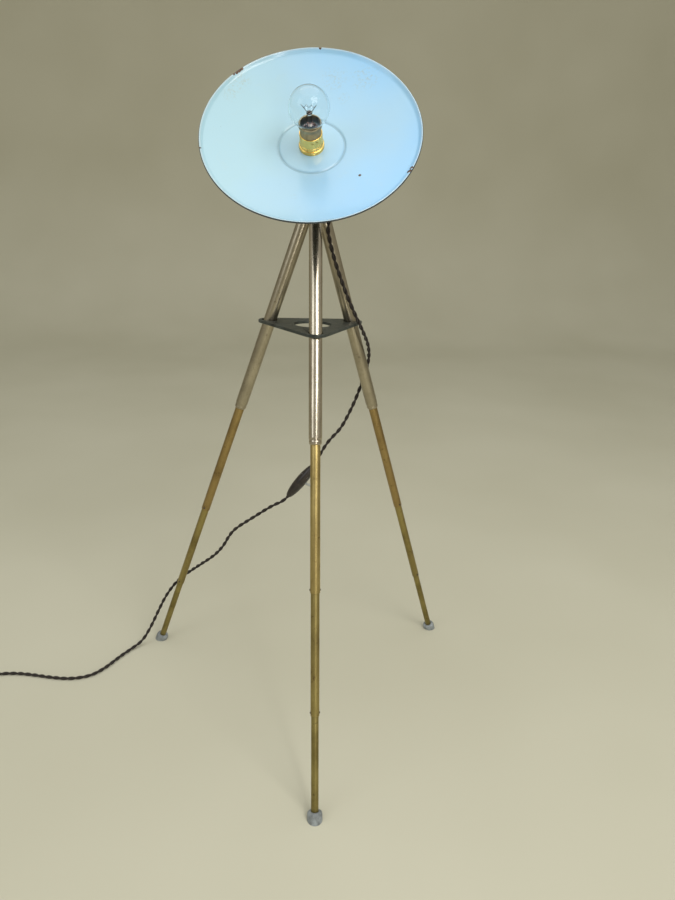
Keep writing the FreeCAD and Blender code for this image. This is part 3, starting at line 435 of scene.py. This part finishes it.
def make_flex():
    """Braided cotton: two sets of threads crossing round each strand."""
    shader = Shader("braided_flex")
    u = shader.component(0, "UV")
    v = shader.component(1, "UV")
    first = shader.math("SINE", shader.math("MULTIPLY", shader.math("ADD", u, v), 5200.0))
    second = shader.math("SINE", shader.math("MULTIPLY", shader.math("SUBTRACT", u, v), 5200.0))
    weave = shader.math("MAXIMUM", first, second)
    fuzz = shader.noise(1800.0, 4.0, 0.7)
    wear = shader.noise(30.0, 5.0, 0.6)
    colour = shader.ramp(weave, (0.1, (0.006, 0.004, 0.003)), (0.8, (0.024, 0.016, 0.011)))
    colour = shader.mix(shader.math("MULTIPLY", wear, 0.6), colour, (0.030, 0.021, 0.015))
    hairs = shader.math("MULTIPLY", shader.ramp(fuzz, (0.55, 0.0), (0.75, 1.0)), 0.25)
    colour = shader.mix(hairs, colour, (0.060, 0.045, 0.032))
    shader.set(Base_Color=colour, Roughness=0.82, Sheen_Weight=0.08, Sheen_Roughness=0.5)
    shader.bump(shader.math("ADD", weave, shader.math("MULTIPLY", fuzz, 0.6)), 0.6, 0.0003)
    return shader.material


def head_matrix():
    """From the head's own frame, Z along its axis and Y up its back, to the part's."""
    out = middle("holder_lip") - TILT
    aside = out.dot(TILT_AXIS) * TILT_AXIS
    forward = (out - aside).normalized()
    up = forward.cross(TILT_AXIS)
    return Matrix.Translation(TILT + aside) @ Matrix((TILT_AXIS, up, forward)).transposed().to_4x4()


HEAD = head_matrix()


# Chips and stains in the shade's enamel, in its own frame in millimetres: x, y, z and size.
CHIPS = [
    (-118.8, 119.6, 83.5, 3.4), (-122.6, 115.6, 83.5, 3.8), (-126.2, 111.6, 83.5, 3.4),
    (-129.6, 107.6, 83.5, 2.8), (2.4, 168.0, 83.5, 2.4), (150.6, -70.2, 83.0, 3.8),
    (153.6, -63.6, 83.0, 3.2), (-163.0, -42.0, 83.5, 2.2), (77.7, -59.7, 59.8, 2.4),
]
STAINS = [
    (27.4, 121.9, 71.8, 16.0), (74.8, 120.7, 76.6, 18.0), (-129.9, 74.5, 78.8, 11.0),
    (43.5, 89.2, 64.5, 8.0), (-17.7, -104.8, 66.5, 5.0), (-119.0, 100.0, 80.0, 14.0),
]


def make_enamel():
    shader = Shader("enamel")
    clouds = shader.noise(5.0, 3.0, 0.5)
    # Painted reflection: across the shade's x the colour runs from greyer green on the left to bluer on
    # the right, on top of random clouds of tone.
    sweep = shader.component(0)
    clouds_and_painted_reflection = shader.math("ADD", shader.math("MULTIPLY", sweep, 2.0), clouds)
    colour = shader.ramp(
        clouds_and_painted_reflection, (0.25, (0.365, 0.57, 0.65)), (0.55, (0.35, 0.575, 0.745)), (0.9, (0.28, 0.555, 0.83))
    )
    ragged = shader.noise(240.0, 5.0, 0.7)
    dirt = shader.ramp(shader.noise(34.0, 8.0, 0.7), (0.58, 0.0), (0.82, 1.0))
    colour = shader.mix(shader.math("MULTIPLY", dirt, 0.16), colour, (0.50, 0.50, 0.42))
    specks = shader.ramp(shader.noise(260.0, 4.0, 0.6), (0.72, 0.0), (0.76, 1.0))
    colour = shader.mix(shader.math("MULTIPLY", specks, 0.45), colour, (0.22, 0.20, 0.17))
    for x, y, z, size in STAINS:
        spot = shader.within((x * MM, y * MM, z * MM), size * MM, size * MM * 0.6)
        spot = shader.math("MULTIPLY", spot, shader.ramp(ragged, (0.50, 0.0), (0.66, 1.0)))
        colour = shader.mix(shader.math("MULTIPLY", spot, 0.42), colour, (0.36, 0.31, 0.17))
    # A grey line in the pressed ring, and a painted highlight: a paler line along the rolled rim.
    dish, soft = (0, 0, 0.052), 0.0008
    ring = shader.math("SUBTRACT", shader.within(dish, 0.0528, soft), shader.within(dish, 0.0500, soft))
    colour = shader.mix(shader.math("MULTIPLY", ring, 0.45), colour, (0.17, 0.26, 0.30))
    lip = shader.math("SUBTRACT", 1.0, shader.within((0, 0, 0.06), 0.1682, 0.0010))
    colour = shader.mix(shader.math("MULTIPLY", lip, 0.5), colour, (0.60, 0.70, 0.73))
    chipped = 0.0
    for x, y, z, size in CHIPS:
        spot = shader.within((x * MM, y * MM, z * MM), size * MM, 1.4 * MM)
        spot = shader.math("ADD", spot, shader.math("MULTIPLY", ragged, 0.8))
        chipped = shader.math("MAXIMUM", chipped, shader.math("GREATER_THAN", spot, 0.92))
    rust = shader.ramp(shader.noise(500.0, 4.0), (0.35, (0.02, 0.012, 0.010)), (0.65, (0.16, 0.07, 0.025)))
    colour = shader.mix(chipped, colour, rust)
    roughness = shader.math("ADD", shader.math("MULTIPLY", chipped, 0.6), 0.2, clamp=True)
    shader.set(Base_Color=colour, Roughness=roughness, Coat_Weight=0.25, Coat_Roughness=0.1)
    ripple = shader.noise(42.0, 3.0, 0.5)
    shader.bump(shader.math("SUBTRACT", shader.math("MULTIPLY", ripple, 0.5), chipped), 0.35, 0.0004)
    return shader.material


def make_enamel_back():
    shader = Shader("enamel_back")
    clouds = shader.noise(22.0, 6.0, 0.6)
    colour = shader.ramp(clouds, (0.3, (0.018, 0.026, 0.034)), (0.7, (0.045, 0.058, 0.068)))
    rust = shader.ramp(shader.noise(75.0, 8.0, 0.7), (0.64, 0.0), (0.70, 1.0))
    colour = shader.mix(shader.math("MULTIPLY", rust, 0.85), colour, (0.14, 0.06, 0.025))
    roughness = shader.math("ADD", shader.math("MULTIPLY", rust, 0.5), 0.2, clamp=True)
    shader.set(Base_Color=colour, Roughness=roughness, Coat_Weight=0.3, Coat_Roughness=0.12)
    shader.bump(shader.math("ADD", shader.noise(60.0, 4.0), rust), 0.2, 0.0004)
    return shader.material


# ---------------------------------------------------------------- cords

# The route's points, in millimetres from the tripod's axis on the floor.
CORD_TO_SWITCH = [
    (6.57, -12.36, 957), (12.53, -23.57, 957), (17.7, -33.2, 950.6), (20.6, -38.7, 939.6),
    (20.8, -39.2, 925), (18.3, -34.4, 905), (23.5, -28, 884), (34.5, -18.6, 850), (54.4, -8, 802),
    (74.4, 3, 761), (91, 17, 731), (108.5, 47, 696), (112.5, 74, 660), (104, 82, 624), (94, 83.5, 590),
    (81.5, 86.5, 557), (66, 90, 523), (45, 93, 499.5), (30.5, 94.8, 475), (15.35, 96.94, 442.29),
]
CORD_TO_COIL = [
    (-34.1, 104, 374.6), (-43.5, 105.35, 361.72), (-66, 108, 351.5), (-111.8, 116, 316.6),
    (-146, 121.5, 291), (-159.5, 124.5, 270), (-169.5, 129, 248), (-190, 138.5, 220), (-222, 152, 191),
    (-248, 166, 166), (-276, 170, 141), (-300, 167, 108), (-318, 160, 72), (-335, 150, 36),
    (-353, 136, 9), (-374, 117, 3.5), (-395, 88, 3.5), (-415, 54, 3.5), (-440, 28, 3.5),
    (-478, 20, 3.5), (-520, 27, 3.5), (-560, 38, 3.5), (-599, 45, 3.5), (-640, 42, 3.5),
]
CORD_RADIUS = 3.5 * MM
STRAND_RADIUS = 1.78 * MM
TWIST = 31.0 * MM


def from_axis(point):
    return Vector((point[0] * MM, point[1] * MM + AXIS_Y, point[2] * MM))


def coil_points():
    """Three turns on the floor, winding inward, then two on top of them, winding out."""
    low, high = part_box("cord_coil")
    centre = (low + high) / 2
    outer = (high.x - low.x) / 2 - CORD_RADIUS
    diameter = CORD_RADIUS * 2
    per_turn, turns = 16, 5.25
    inward_turns, climb_from, climb_turns = 2.0, 2.8, 0.35
    outward_from, last_from = 3.2, 5.0
    layer = 6.4 * MM
    count = int(per_turn * turns)
    spread = 1 / math.cos(math.pi / per_turn) ** 0.5
    points = []
    for step in range(count + 1):
        turn = step / per_turn
        inward = min(turn, inward_turns) * diameter
        climb = min(max((turn - climb_from) / climb_turns, 0.0), 1.0)
        outward = climb * diameter / 2 + min(max(turn - outward_from, 0.0), 1.0) * diameter
        outward += max(turn - last_from, 0.0) * 2 * diameter
        radius = (outer - inward + outward) * spread
        angle = math.pi / 2 + math.tau * turn
        points.append(Vector((
            centre.x + radius * math.cos(angle), centre.y + radius * math.sin(angle),
            CORD_RADIUS + climb * layer,
        )))
    return points


def tail_points():
    """From the coil's left side down to the floor and into the plug."""
    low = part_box("cord_tail")[0]
    plug_low, plug_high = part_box("plug_body")
    coil_low, coil_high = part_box("cord_coil")
    plug_x = (plug_low.x + plug_high.x) / 2
    rise = (plug_low.z + plug_high.z) / 2
    start_x = coil_low.x + CORD_RADIUS
    return [
        Vector((start_x - 0.0005, (coil_low.y + coil_high.y) / 2 - 0.016, 8.0 * MM)),
        Vector((start_x - 0.0012, low.y + 0.032, 7.2 * MM)),
        Vector((plug_x, low.y + 0.014, rise - 0.0002)),
        Vector((plug_x, low.y - 0.001, rise)),
    ]


def route_line(name, points):
    """The route's smooth line: the points as a NURBS spline, read back as a chain of points."""
    curve = bpy.data.curves.new(name, "CURVE")
    curve.dimensions = "3D"
    spline = curve.splines.new("NURBS")
    spline.points.add(len(points) - 1)
    for control, point in zip(spline.points, points):
        control.co = (*point, 1.0)
    spline.order_u = 3
    spline.use_endpoint_u = True
    spline.resolution_u = 12
    guide = bpy.data.objects.new(name, curve)
    mesh = bpy.data.meshes.new_from_object(guide)
    line = [vertex.co.copy() for vertex in mesh.vertices]
    bpy.data.objects.remove(guide)
    bpy.data.meshes.remove(mesh)
    return line


def even(line, step):
    """The same line with its points a set distance apart."""
    points, travelled, target = [line[0]], 0.0, step
    for before, after in zip(line, line[1:]):
        span = (after - before).length
        while span > 0 and travelled + span >= target:
            points.append(before.lerp(after, (target - travelled) / span))
            target += step
        travelled += span
    if (points[-1] - line[-1]).length < step * 0.5:
        points.pop()
    points.append(line[-1])
    return points


def frames_along(line):
    """A turning frame carried along the line without twist."""
    normal = (line[1] - line[0]).orthogonal().normalized()
    result = []
    for index, point in enumerate(line):
        before, after = line[max(index - 1, 0)], line[min(index + 1, len(line) - 1)]
        tangent = (after - before).normalized()
        normal = (normal - normal.dot(tangent) * tangent).normalized()
        result.append((point, normal, tangent.cross(normal)))
    return result


def twisted_pair(name, line, material, phase=0.0):
    """Two braided strands laid round each other along the line."""
    step = 1.6 * MM
    line = even(line, step)
    carried = frames_along(line)
    mesh = bpy.data.meshes.new(name)
    work = bmesh.new()
    layer = work.loops.layers.uv.new("UVMap")
    sides = 10
    offset = CORD_RADIUS - STRAND_RADIUS
    for strand in (0.0, math.pi):
        centres = []
        for index, (point, across, up) in enumerate(carried):
            turn = strand + phase + math.tau * index * step / TWIST
            centres.append(point + (across * math.cos(turn) + up * math.sin(turn)) * offset)
        rings = []
        for point, across, up in frames_along(centres):
            rings.append([
                work.verts.new(point + (
                    across * math.cos(math.tau * side / sides) + up * math.sin(math.tau * side / sides)
                ) * STRAND_RADIUS)
                for side in range(sides)
            ])
        girth = math.tau * STRAND_RADIUS
        for index, (ring, after) in enumerate(zip(rings, rings[1:])):
            for side in range(sides):
                nxt = (side + 1) % sides
                face = work.faces.new((ring[side], ring[nxt], after[nxt], after[side]))
                spots = ((side, index), (side + 1, index), (side + 1, index + 1), (side, index + 1))
                for loop, (round_index, along_index) in zip(face.loops, spots):
                    loop[layer].uv = (girth * round_index / sides, along_index * step)
        work.faces.new(list(reversed(rings[0])))
        work.faces.new(rings[-1])
    bmesh.ops.recalc_face_normals(work, faces=work.faces)
    for face in work.faces:
        face.smooth = True
    work.to_mesh(mesh)
    work.free()
    return add(name, mesh, material), line


def line_length(line):
    return sum((after - before).length for before, after in zip(line, line[1:]))


def make_cords(material):
    upper_line = route_line("upper_route", [from_axis(point) for point in CORD_TO_SWITCH])
    upper, upper_path = twisted_pair("flex_to_switch", upper_line, material, 0.4)
    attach(upper, "base")
    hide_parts("cord_to_switch")
    points = [from_axis(point) for point in CORD_TO_COIL]
    coil = coil_points()
    lower_line = route_line("lower_route", points + coil + tail_points())
    lower, lower_path = twisted_pair("flex_to_plug", lower_line, material, 1.1)
    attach(lower, "base")
    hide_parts("cord_to_coil", "cord_coil", "cord_tail")
    print("flex lengths", round(line_length(upper_path), 4), round(line_length(lower_path), 4))


# ---------------------------------------------------------------- head

def seat(piece, body, slot, *replaced):
    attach(piece, body)
    if replaced:
        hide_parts(*replaced)
    return piece


def metres(*outline):
    return [(radius * MM, height * MM) for radius, height in outline]


def rounded(corners, size, steps=3):
    """A closed outline with each corner rounded off by up to the size, in millimetres."""
    result = []
    for index, corner in enumerate(corners):
        point = Vector(corner)
        before, after = Vector(corners[index - 1]), Vector(corners[(index + 1) % len(corners)])
        back, ahead = before - point, after - point
        on_axis = point.x < 1e-6
        reach = min(size, back.length * 0.45, ahead.length * 0.45)
        if on_axis or reach < 1e-4 or back.angle(ahead) > math.radians(172):
            result.append(tuple(point))
            continue
        start, end = point + back.normalized() * reach, point + ahead.normalized() * reach
        for step in range(steps + 1):
            t = step / steps
            result.append(tuple(start.lerp(point, t).lerp(point.lerp(end, t), t)))
    return result


def make_shade(materials):
    """The enamelled dish: a flat centre, a pressed ring, a shallow bowl and a rolled rim."""
    inside, outside = [], []
    flat, bead, rise, sheet = 48.0, 7.0, 1.8, 1.2
    back, rim, depth, roll = 50.8, 169.5, 32.0, 2.0
    chord = math.hypot(rim - roll - flat - bead, depth - roll)
    sagitta = chord ** 2 / (8 * 420.0)
    for step in range(61):
        t = step / 60
        radius = flat + bead + (rim - roll - flat - bead) * t
        near_rim = max(0.0, 1 - (rim - roll - radius) / 5.0)
        height = (depth - roll) * t - 4 * sagitta * t * (1 - t) * 0.96
        lift = (2 * roll - sheet) * near_rim ** 2 * (3 - 2 * near_rim)
        inside.append((radius, back + sheet + height + lift))
        outside.append((radius, back + height))
    groove = [
        (flat + bead * share, -rise * math.sin(math.pi * share) ** 2) for share in
        [step / 8 for step in range(1, 8)]
    ]
    hole = 16.3
    profile = [(hole, back), (flat * 0.6, back), (flat, back)]
    profile += [(radius, back + dip) for radius, dip in groove] + outside
    rolled = (rim - roll, back + depth)
    for step in range(1, 12):
        angle = -math.pi / 2 + math.pi * step / 12
        profile.append((rolled[0] + roll * math.cos(angle), rolled[1] + roll * math.sin(angle)))
    profile += [(radius, level) for radius, level in reversed(inside)]
    profile += [(radius, back + sheet + dip) for radius, dip in reversed(groove)]
    profile += [(flat, back + sheet), (flat * 0.6, back + sheet), (hole, back + sheet)]

    def wobble(point, angle):
        share = max(0.0, math.hypot(point.x, point.y) / MM - 60) / 110
        lift = noise.noise(Vector((math.cos(angle) * 1.3, math.sin(angle) * 1.3, 4.0))) * 0.9
        lift += noise.noise(Vector((math.cos(angle) * 5, math.sin(angle) * 5, 9.0))) * 0.25
        return point + Vector((0, 0, lift * share * MM))

    shade = lathe("shade_dish", metres(*profile), HEAD, 256, wobble=wobble)
    shade.data.materials.append(materials["enamel"])
    shade.data.materials.append(materials["enamel_back"])
    edge = (rim - roll * 0.6) * MM
    for face in shade.data.polygons:
        radius = math.hypot(face.center.x, face.center.y)
        behind = face.normal.z < 0 or radius > edge
        face.material_index = 1 if behind else 0
    seat(shade, "head", "enamel", "shade")


def make_holder(materials):
    seat(lathe("holder_cap_spun", metres(*rounded([
        (4.5, 16), (9.0, 16), (14.0, 18.5), (17.0, 22), (18.0, 27), (18.0, 36), (17.4, 37), (18.0, 38),
        (18.0, 47.8), (19.5, 47.8), (19.5, 50.8), (16.1, 50.8), (16.1, 28), (13.5, 20.5), (4.5, 17.2),
    ], 1.2)), HEAD, 96, material=materials["turned_brass"]), "head", "turned_brass", "holder_cap")
    front = 52.0
    seat(lathe("shade_ring_turned", metres(*rounded([
        (16.1, front), (19.8, front), (19.8, front + 2.2), (19.0, front + 3.0), (19.8, front + 3.8),
        (19.8, front + 5.4), (19.2, front + 6.0), (18.2, front + 6.2), (18.2, front + 6.8),
        (18.6, front + 7.4), (18.6, front + 8.6), (18.1, front + 9.2), (18.6, front + 9.8),
        (18.6, front + 11), (17.9, front + 11.5),
        (17.9, 79.4), (17.3, 80.0), (16.1, 80.0),
    ], 0.5)), HEAD, 128, material=materials["turned_brass"]), "head", "turned_brass", "shade_ring")
    threads = []
    for turn in range(7):
        level = 80.4 + turn * 1.5
        threads += [(16.0, level), (15.6, level + 0.75)]
    seat(lathe("holder_barrel_spun", metres(
        (15.0, 28), (16.0, 28), (16.0, 60), (16.0, 80), *threads, (16.0, 91.5), (16.0, 95), (15.0, 95),
        (15.0, 60),
    ), HEAD, 128, material=materials["aged_brass"]), "head", "aged_brass", "holder_barrel")
    seat(lathe("holder_lip_moulded", metres(*rounded([
        (16.0, 92.0), (17.3, 91.9), (17.9, 92.8), (17.9, 97.0), (17.2, 98.0), (15.9, 98.0), (15.4, 97.2),
        (15.4, 95.0), (16.0, 95.0),
    ], 0.5)), HEAD, 128, material=materials["aged_brass"]), "head", "bakelite", "holder_lip")


def make_bulb(materials):
    centre, globe, neck, thick = 127.0, 30.5, 14.2, 0.7

    def skin(inset):
        ball, tube = globe - inset, neck - inset
        throat = tube + 6.0
        start = math.asin(throat / ball)
        points = [(tube, 88.5 + inset), (tube + 0.3, 92.0)]
        joined = (throat, centre - ball * math.cos(start))
        for step in range(1, 8):
            t = step / 8
            bend = Vector((tube + 0.3, 92.0)).lerp(Vector((tube + 0.9, joined[1] - 5)), t)
            points.append(tuple(bend.lerp(Vector((tube + 0.9, joined[1] - 5)).lerp(Vector(joined), t), t)))
        for step in range(33):
            angle = start + (math.pi - start) * step / 32
            points.append((max(ball * math.sin(angle), 0.0), centre - ball * math.cos(angle)))
        return points

    outer, inner = skin(0.0), skin(thick)
    outer[-1], inner[-1] = (0.0, outer[-1][1]), (0.0, inner[-1][1])
    profile = [(10.2, 87.4)] + outer + list(reversed(inner)) + [(10.2, 88.2)]
    seat(lathe("bulb_globe", metres(*profile), HEAD, 128, material=materials["glass"]),
         "head", "clear_glass", "bulb_glass")


# ---------------------------------------------------------------- legs

def leg_matrix(leg):
    """The frame at a leg's hinge, with Z down the leg and Y along the hinge pin."""
    hinge = JOINTS[f"leg_{leg}_fold"]
    down = -Vector(JOINTS[f"leg_{leg}_upper_slide"]["axis"]).normalized()
    across = Vector(hinge["axis"]).normalized()
    turn = Matrix((across.cross(down), across, down)).transposed().to_4x4()
    return Matrix.Translation(Vector(hinge["pos_m"])) @ turn


def make_leg(leg, materials):
    place = leg_matrix(leg)
    # The side legs take the darker copies of the nickel and brass: painted shade.
    plating, brass = ("nickel", "golden_brass") if leg == "front" else ("shaded_side_nickel", "shaded_side_brass")
    seat(lathe(f"{leg}_plated_tube", metres(*rounded([
        (10.0, 20), (11.0, 20), (11.0, 371.5), (10.4, 374.0), (10.4, 376.6), (10.7, 377.6), (10.4, 378.6),
        (10.4, 381.0), (8.9, 382.5), (8.33, 382.5), (8.33, 373.5), (10.0, 371.5),
    ], 0.9)), place, 96, material=materials[plating]),
        f"leg_{leg}_top", "nickel_plate", f"leg_{leg}_outer_tube")
    seat(lathe(f"{leg}_first_brass", metres(*rounded([
        (7.33, 352.5), (8.25, 352.5), (8.25, 623.5), (7.33, 623.5),
    ], 0.5)), place, 96, material=materials[brass]),
        f"leg_{leg}_upper", "golden_brass", f"leg_{leg}_upper_tube")
    seat(lathe(f"{leg}_second_brass", metres(*rounded([
        (6.23, 593.5), (7.25, 593.5), (7.25, 823.5), (6.23, 823.5),
    ], 0.5)), place, 96, material=materials["middle_brass"]),
        f"leg_{leg}_middle", "olive_brass", f"leg_{leg}_middle_tube")
    seat(lathe(f"{leg}_third_brass", metres(*rounded([
        (5.25, 793.5), (6.15, 793.5), (6.15, 987.7), (5.25, 987.7),
    ], 0.4)), place, 96, material=materials["olive_brass"]),
        f"leg_{leg}_lower", "olive_brass", f"leg_{leg}_lower_tube")
    down = (place.to_3x3() @ Vector((0, 0, 1))).z

    def on_floor(point, _angle):
        depth = (place @ point).z
        return point if depth > 0 else point - Vector((0, 0, depth / down))

    foot = lathe(f"{leg}_rubber_foot", metres(*rounded([
        (6.15, 978.9), (9.6, 978.9), (11.9, 980.8), (12.5, 984.5), (12.5, 998.0), (0, 1004.0), (0, 987.8),
        (6.15, 987.8),
    ], 0.8)), place, 96, material=materials["rubber"], wobble=on_floor)
    seat(foot, f"leg_{leg}_lower", "grey_rubber", f"leg_{leg}_foot")


# ---------------------------------------------------------------- everything else

# Node, material, slot and how far its edges are rounded in millimetres.
DRESSED = [
    ("crown", "dull_brass", "turned_brass", 0.5), ("hinge_pins", "steel", "steel", 0.3),
    ("stem", "dull_brass", "turned_brass", 0.2), ("stem_nut", "steel", "steel", 0.4),
    ("cord_bush", "bakelite", "bakelite", 0.3), ("swivel", "dull_brass", "turned_brass", 0.5),
    ("tilt_bolt", "steel", "steel", 0.2), ("tilt_nut", "steel", "steel", 0.2),
    ("knuckle", "dull_brass", "turned_brass", 0.4), ("holder_base", "porcelain", "porcelain", 0.3),
    # The bulb's cap takes the purple-brown metal: painted shade and reflection.
    ("holder_terminals", "dull_brass", "turned_brass", 0.1), ("bulb_cap", "painted_reflection_cap", "cap_brass", 0.1),
    ("bulb_contact", "steel", "cap_brass", 0.1), ("bulb_stem", "glass", "clear_glass", 0.0),
    ("bulb_filament", "filament", "filament", 0.0), ("spreader_plate", "plate", "black_paint", 0.9),
    ("switch_cover", "bakelite", "bakelite", 0.5), ("switch_base", "bakelite", "bakelite", 0.5),
    ("switch_screws", "steel", "steel", 0.2), ("switch_contacts", "dull_brass", "turned_brass", 0.1),
    ("switch_lever", "toggle", "grey_toggle", 0.3), ("plug_body", "bakelite", "bakelite", 0.6),
    ("plug_pins", "dull_brass", "turned_brass", 0.4),
]


def dress_all(materials):
    rows = list(DRESSED)
    for leg in LEGS:
        rows += [
            (f"leg_{leg}_lug", "steel", "steel", 0.4), (f"leg_{leg}_guide_bush", "fibre", "fibre", 0.2),
            (f"leg_{leg}_upper_catches", "dark_steel", "dark_steel", 0.2),
            (f"leg_{leg}_middle_catches", "dark_steel", "dark_steel", 0.2),
        ]
    for node, material, slot, width in rows:
        dress(node, materials[material], width * MM)


def make_room():
    """A plain pale floor that sweeps up into a plain wall, and soft light."""
    reach, back, sweep, wall = 9.0, 4.6, 1.2, 7.0
    line = [(-6.0, 0.0), (back - sweep, 0.0)]
    for step in range(1, 13):
        angle = -math.pi / 2 + math.pi / 2 * step / 12
        line.append((back - sweep + sweep * math.cos(angle), sweep + sweep * math.sin(angle)))
    line.append((back, wall))
    mesh = bpy.data.meshes.new("studio")
    corners = [(side * reach, y, z - 0.0002) for y, z in line for side in (-1, 1)]
    faces = [(2 * i, 2 * i + 1, 2 * i + 3, 2 * i + 2) for i in range(len(line) - 1)]
    mesh.from_pydata(corners, [], faces)
    for face in mesh.polygons:
        face.use_smooth = True
    paper = Shader("studio_paper")
    tone = paper.noise(1.5, 2.0, 0.5)
    pale = paper.ramp(tone, (0.3, (0.54, 0.52, 0.40)), (0.7, (0.58, 0.56, 0.44)))
    paper.set(Base_Color=pale, Roughness=0.85)
    studio = add("studio", mesh, paper.material)

    def lamp(name, at, target, size, power, colour):
        light = bpy.data.lights.new(name, "AREA")
        light.shape = "RECTANGLE"
        light.size, light.size_y = size
        light.energy = power
        light.color = colour
        piece = bpy.data.objects.new(name, light)
        bpy.context.scene.collection.objects.link(piece)
        piece.location = at
        piece.rotation_mode = "QUATERNION"
        piece.rotation_quaternion = (Vector(target) - Vector(at)).to_track_quat("-Z", "Y")
        return piece

    lamp("key", (1.2, -2.2, 2.6), (0, 0, 0.7), (1.6, 1.6), 43.0, (1.0, 0.98, 0.95))
    lamp("fill", (-2.3, -1.6, 1.9), (0, 0, 0.6), (1.4, 1.8), 13.0, (0.92, 0.96, 1.0))
    lamp("strip", (0.55, -2.4, 0.8), (0, 0, 0.5), (0.22, 1.9), 9.0, (1.0, 0.99, 0.97))
    lamp("top", (0, -0.2, 3.0), (0, 0, 0), (2.6, 2.6), 22.0, (1.0, 1.0, 1.0))

    world = bpy.data.worlds.new("world")
    world.use_nodes = True
    bpy.context.scene.world = world
    tree = world.node_tree
    place = tree.nodes.new("ShaderNodeTexCoord")
    split = tree.nodes.new("ShaderNodeSeparateXYZ")
    ramp = tree.nodes.new("ShaderNodeValToRGB")
    tree.links.new(place.outputs["Generated"], split.inputs[0])
    tree.links.new(split.outputs[2], ramp.inputs["Fac"])
    ramp.color_ramp.elements[0].color = (0.34, 0.31, 0.24, 1)
    ramp.color_ramp.elements[1].color = (0.74, 0.75, 0.72, 1)
    tree.links.new(ramp.outputs["Color"], tree.nodes["Background"].inputs["Color"])
    tree.nodes["Background"].inputs["Strength"].default_value = 0.85
    bpy.context.scene.view_settings.view_transform = "Standard"


materials = make_materials()
make_cords(materials["flex"])
make_shade(materials)
make_holder(materials)
make_bulb(materials)
for leg_name in LEGS:
    make_leg(leg_name, materials)
dress_all(materials)
make_room()
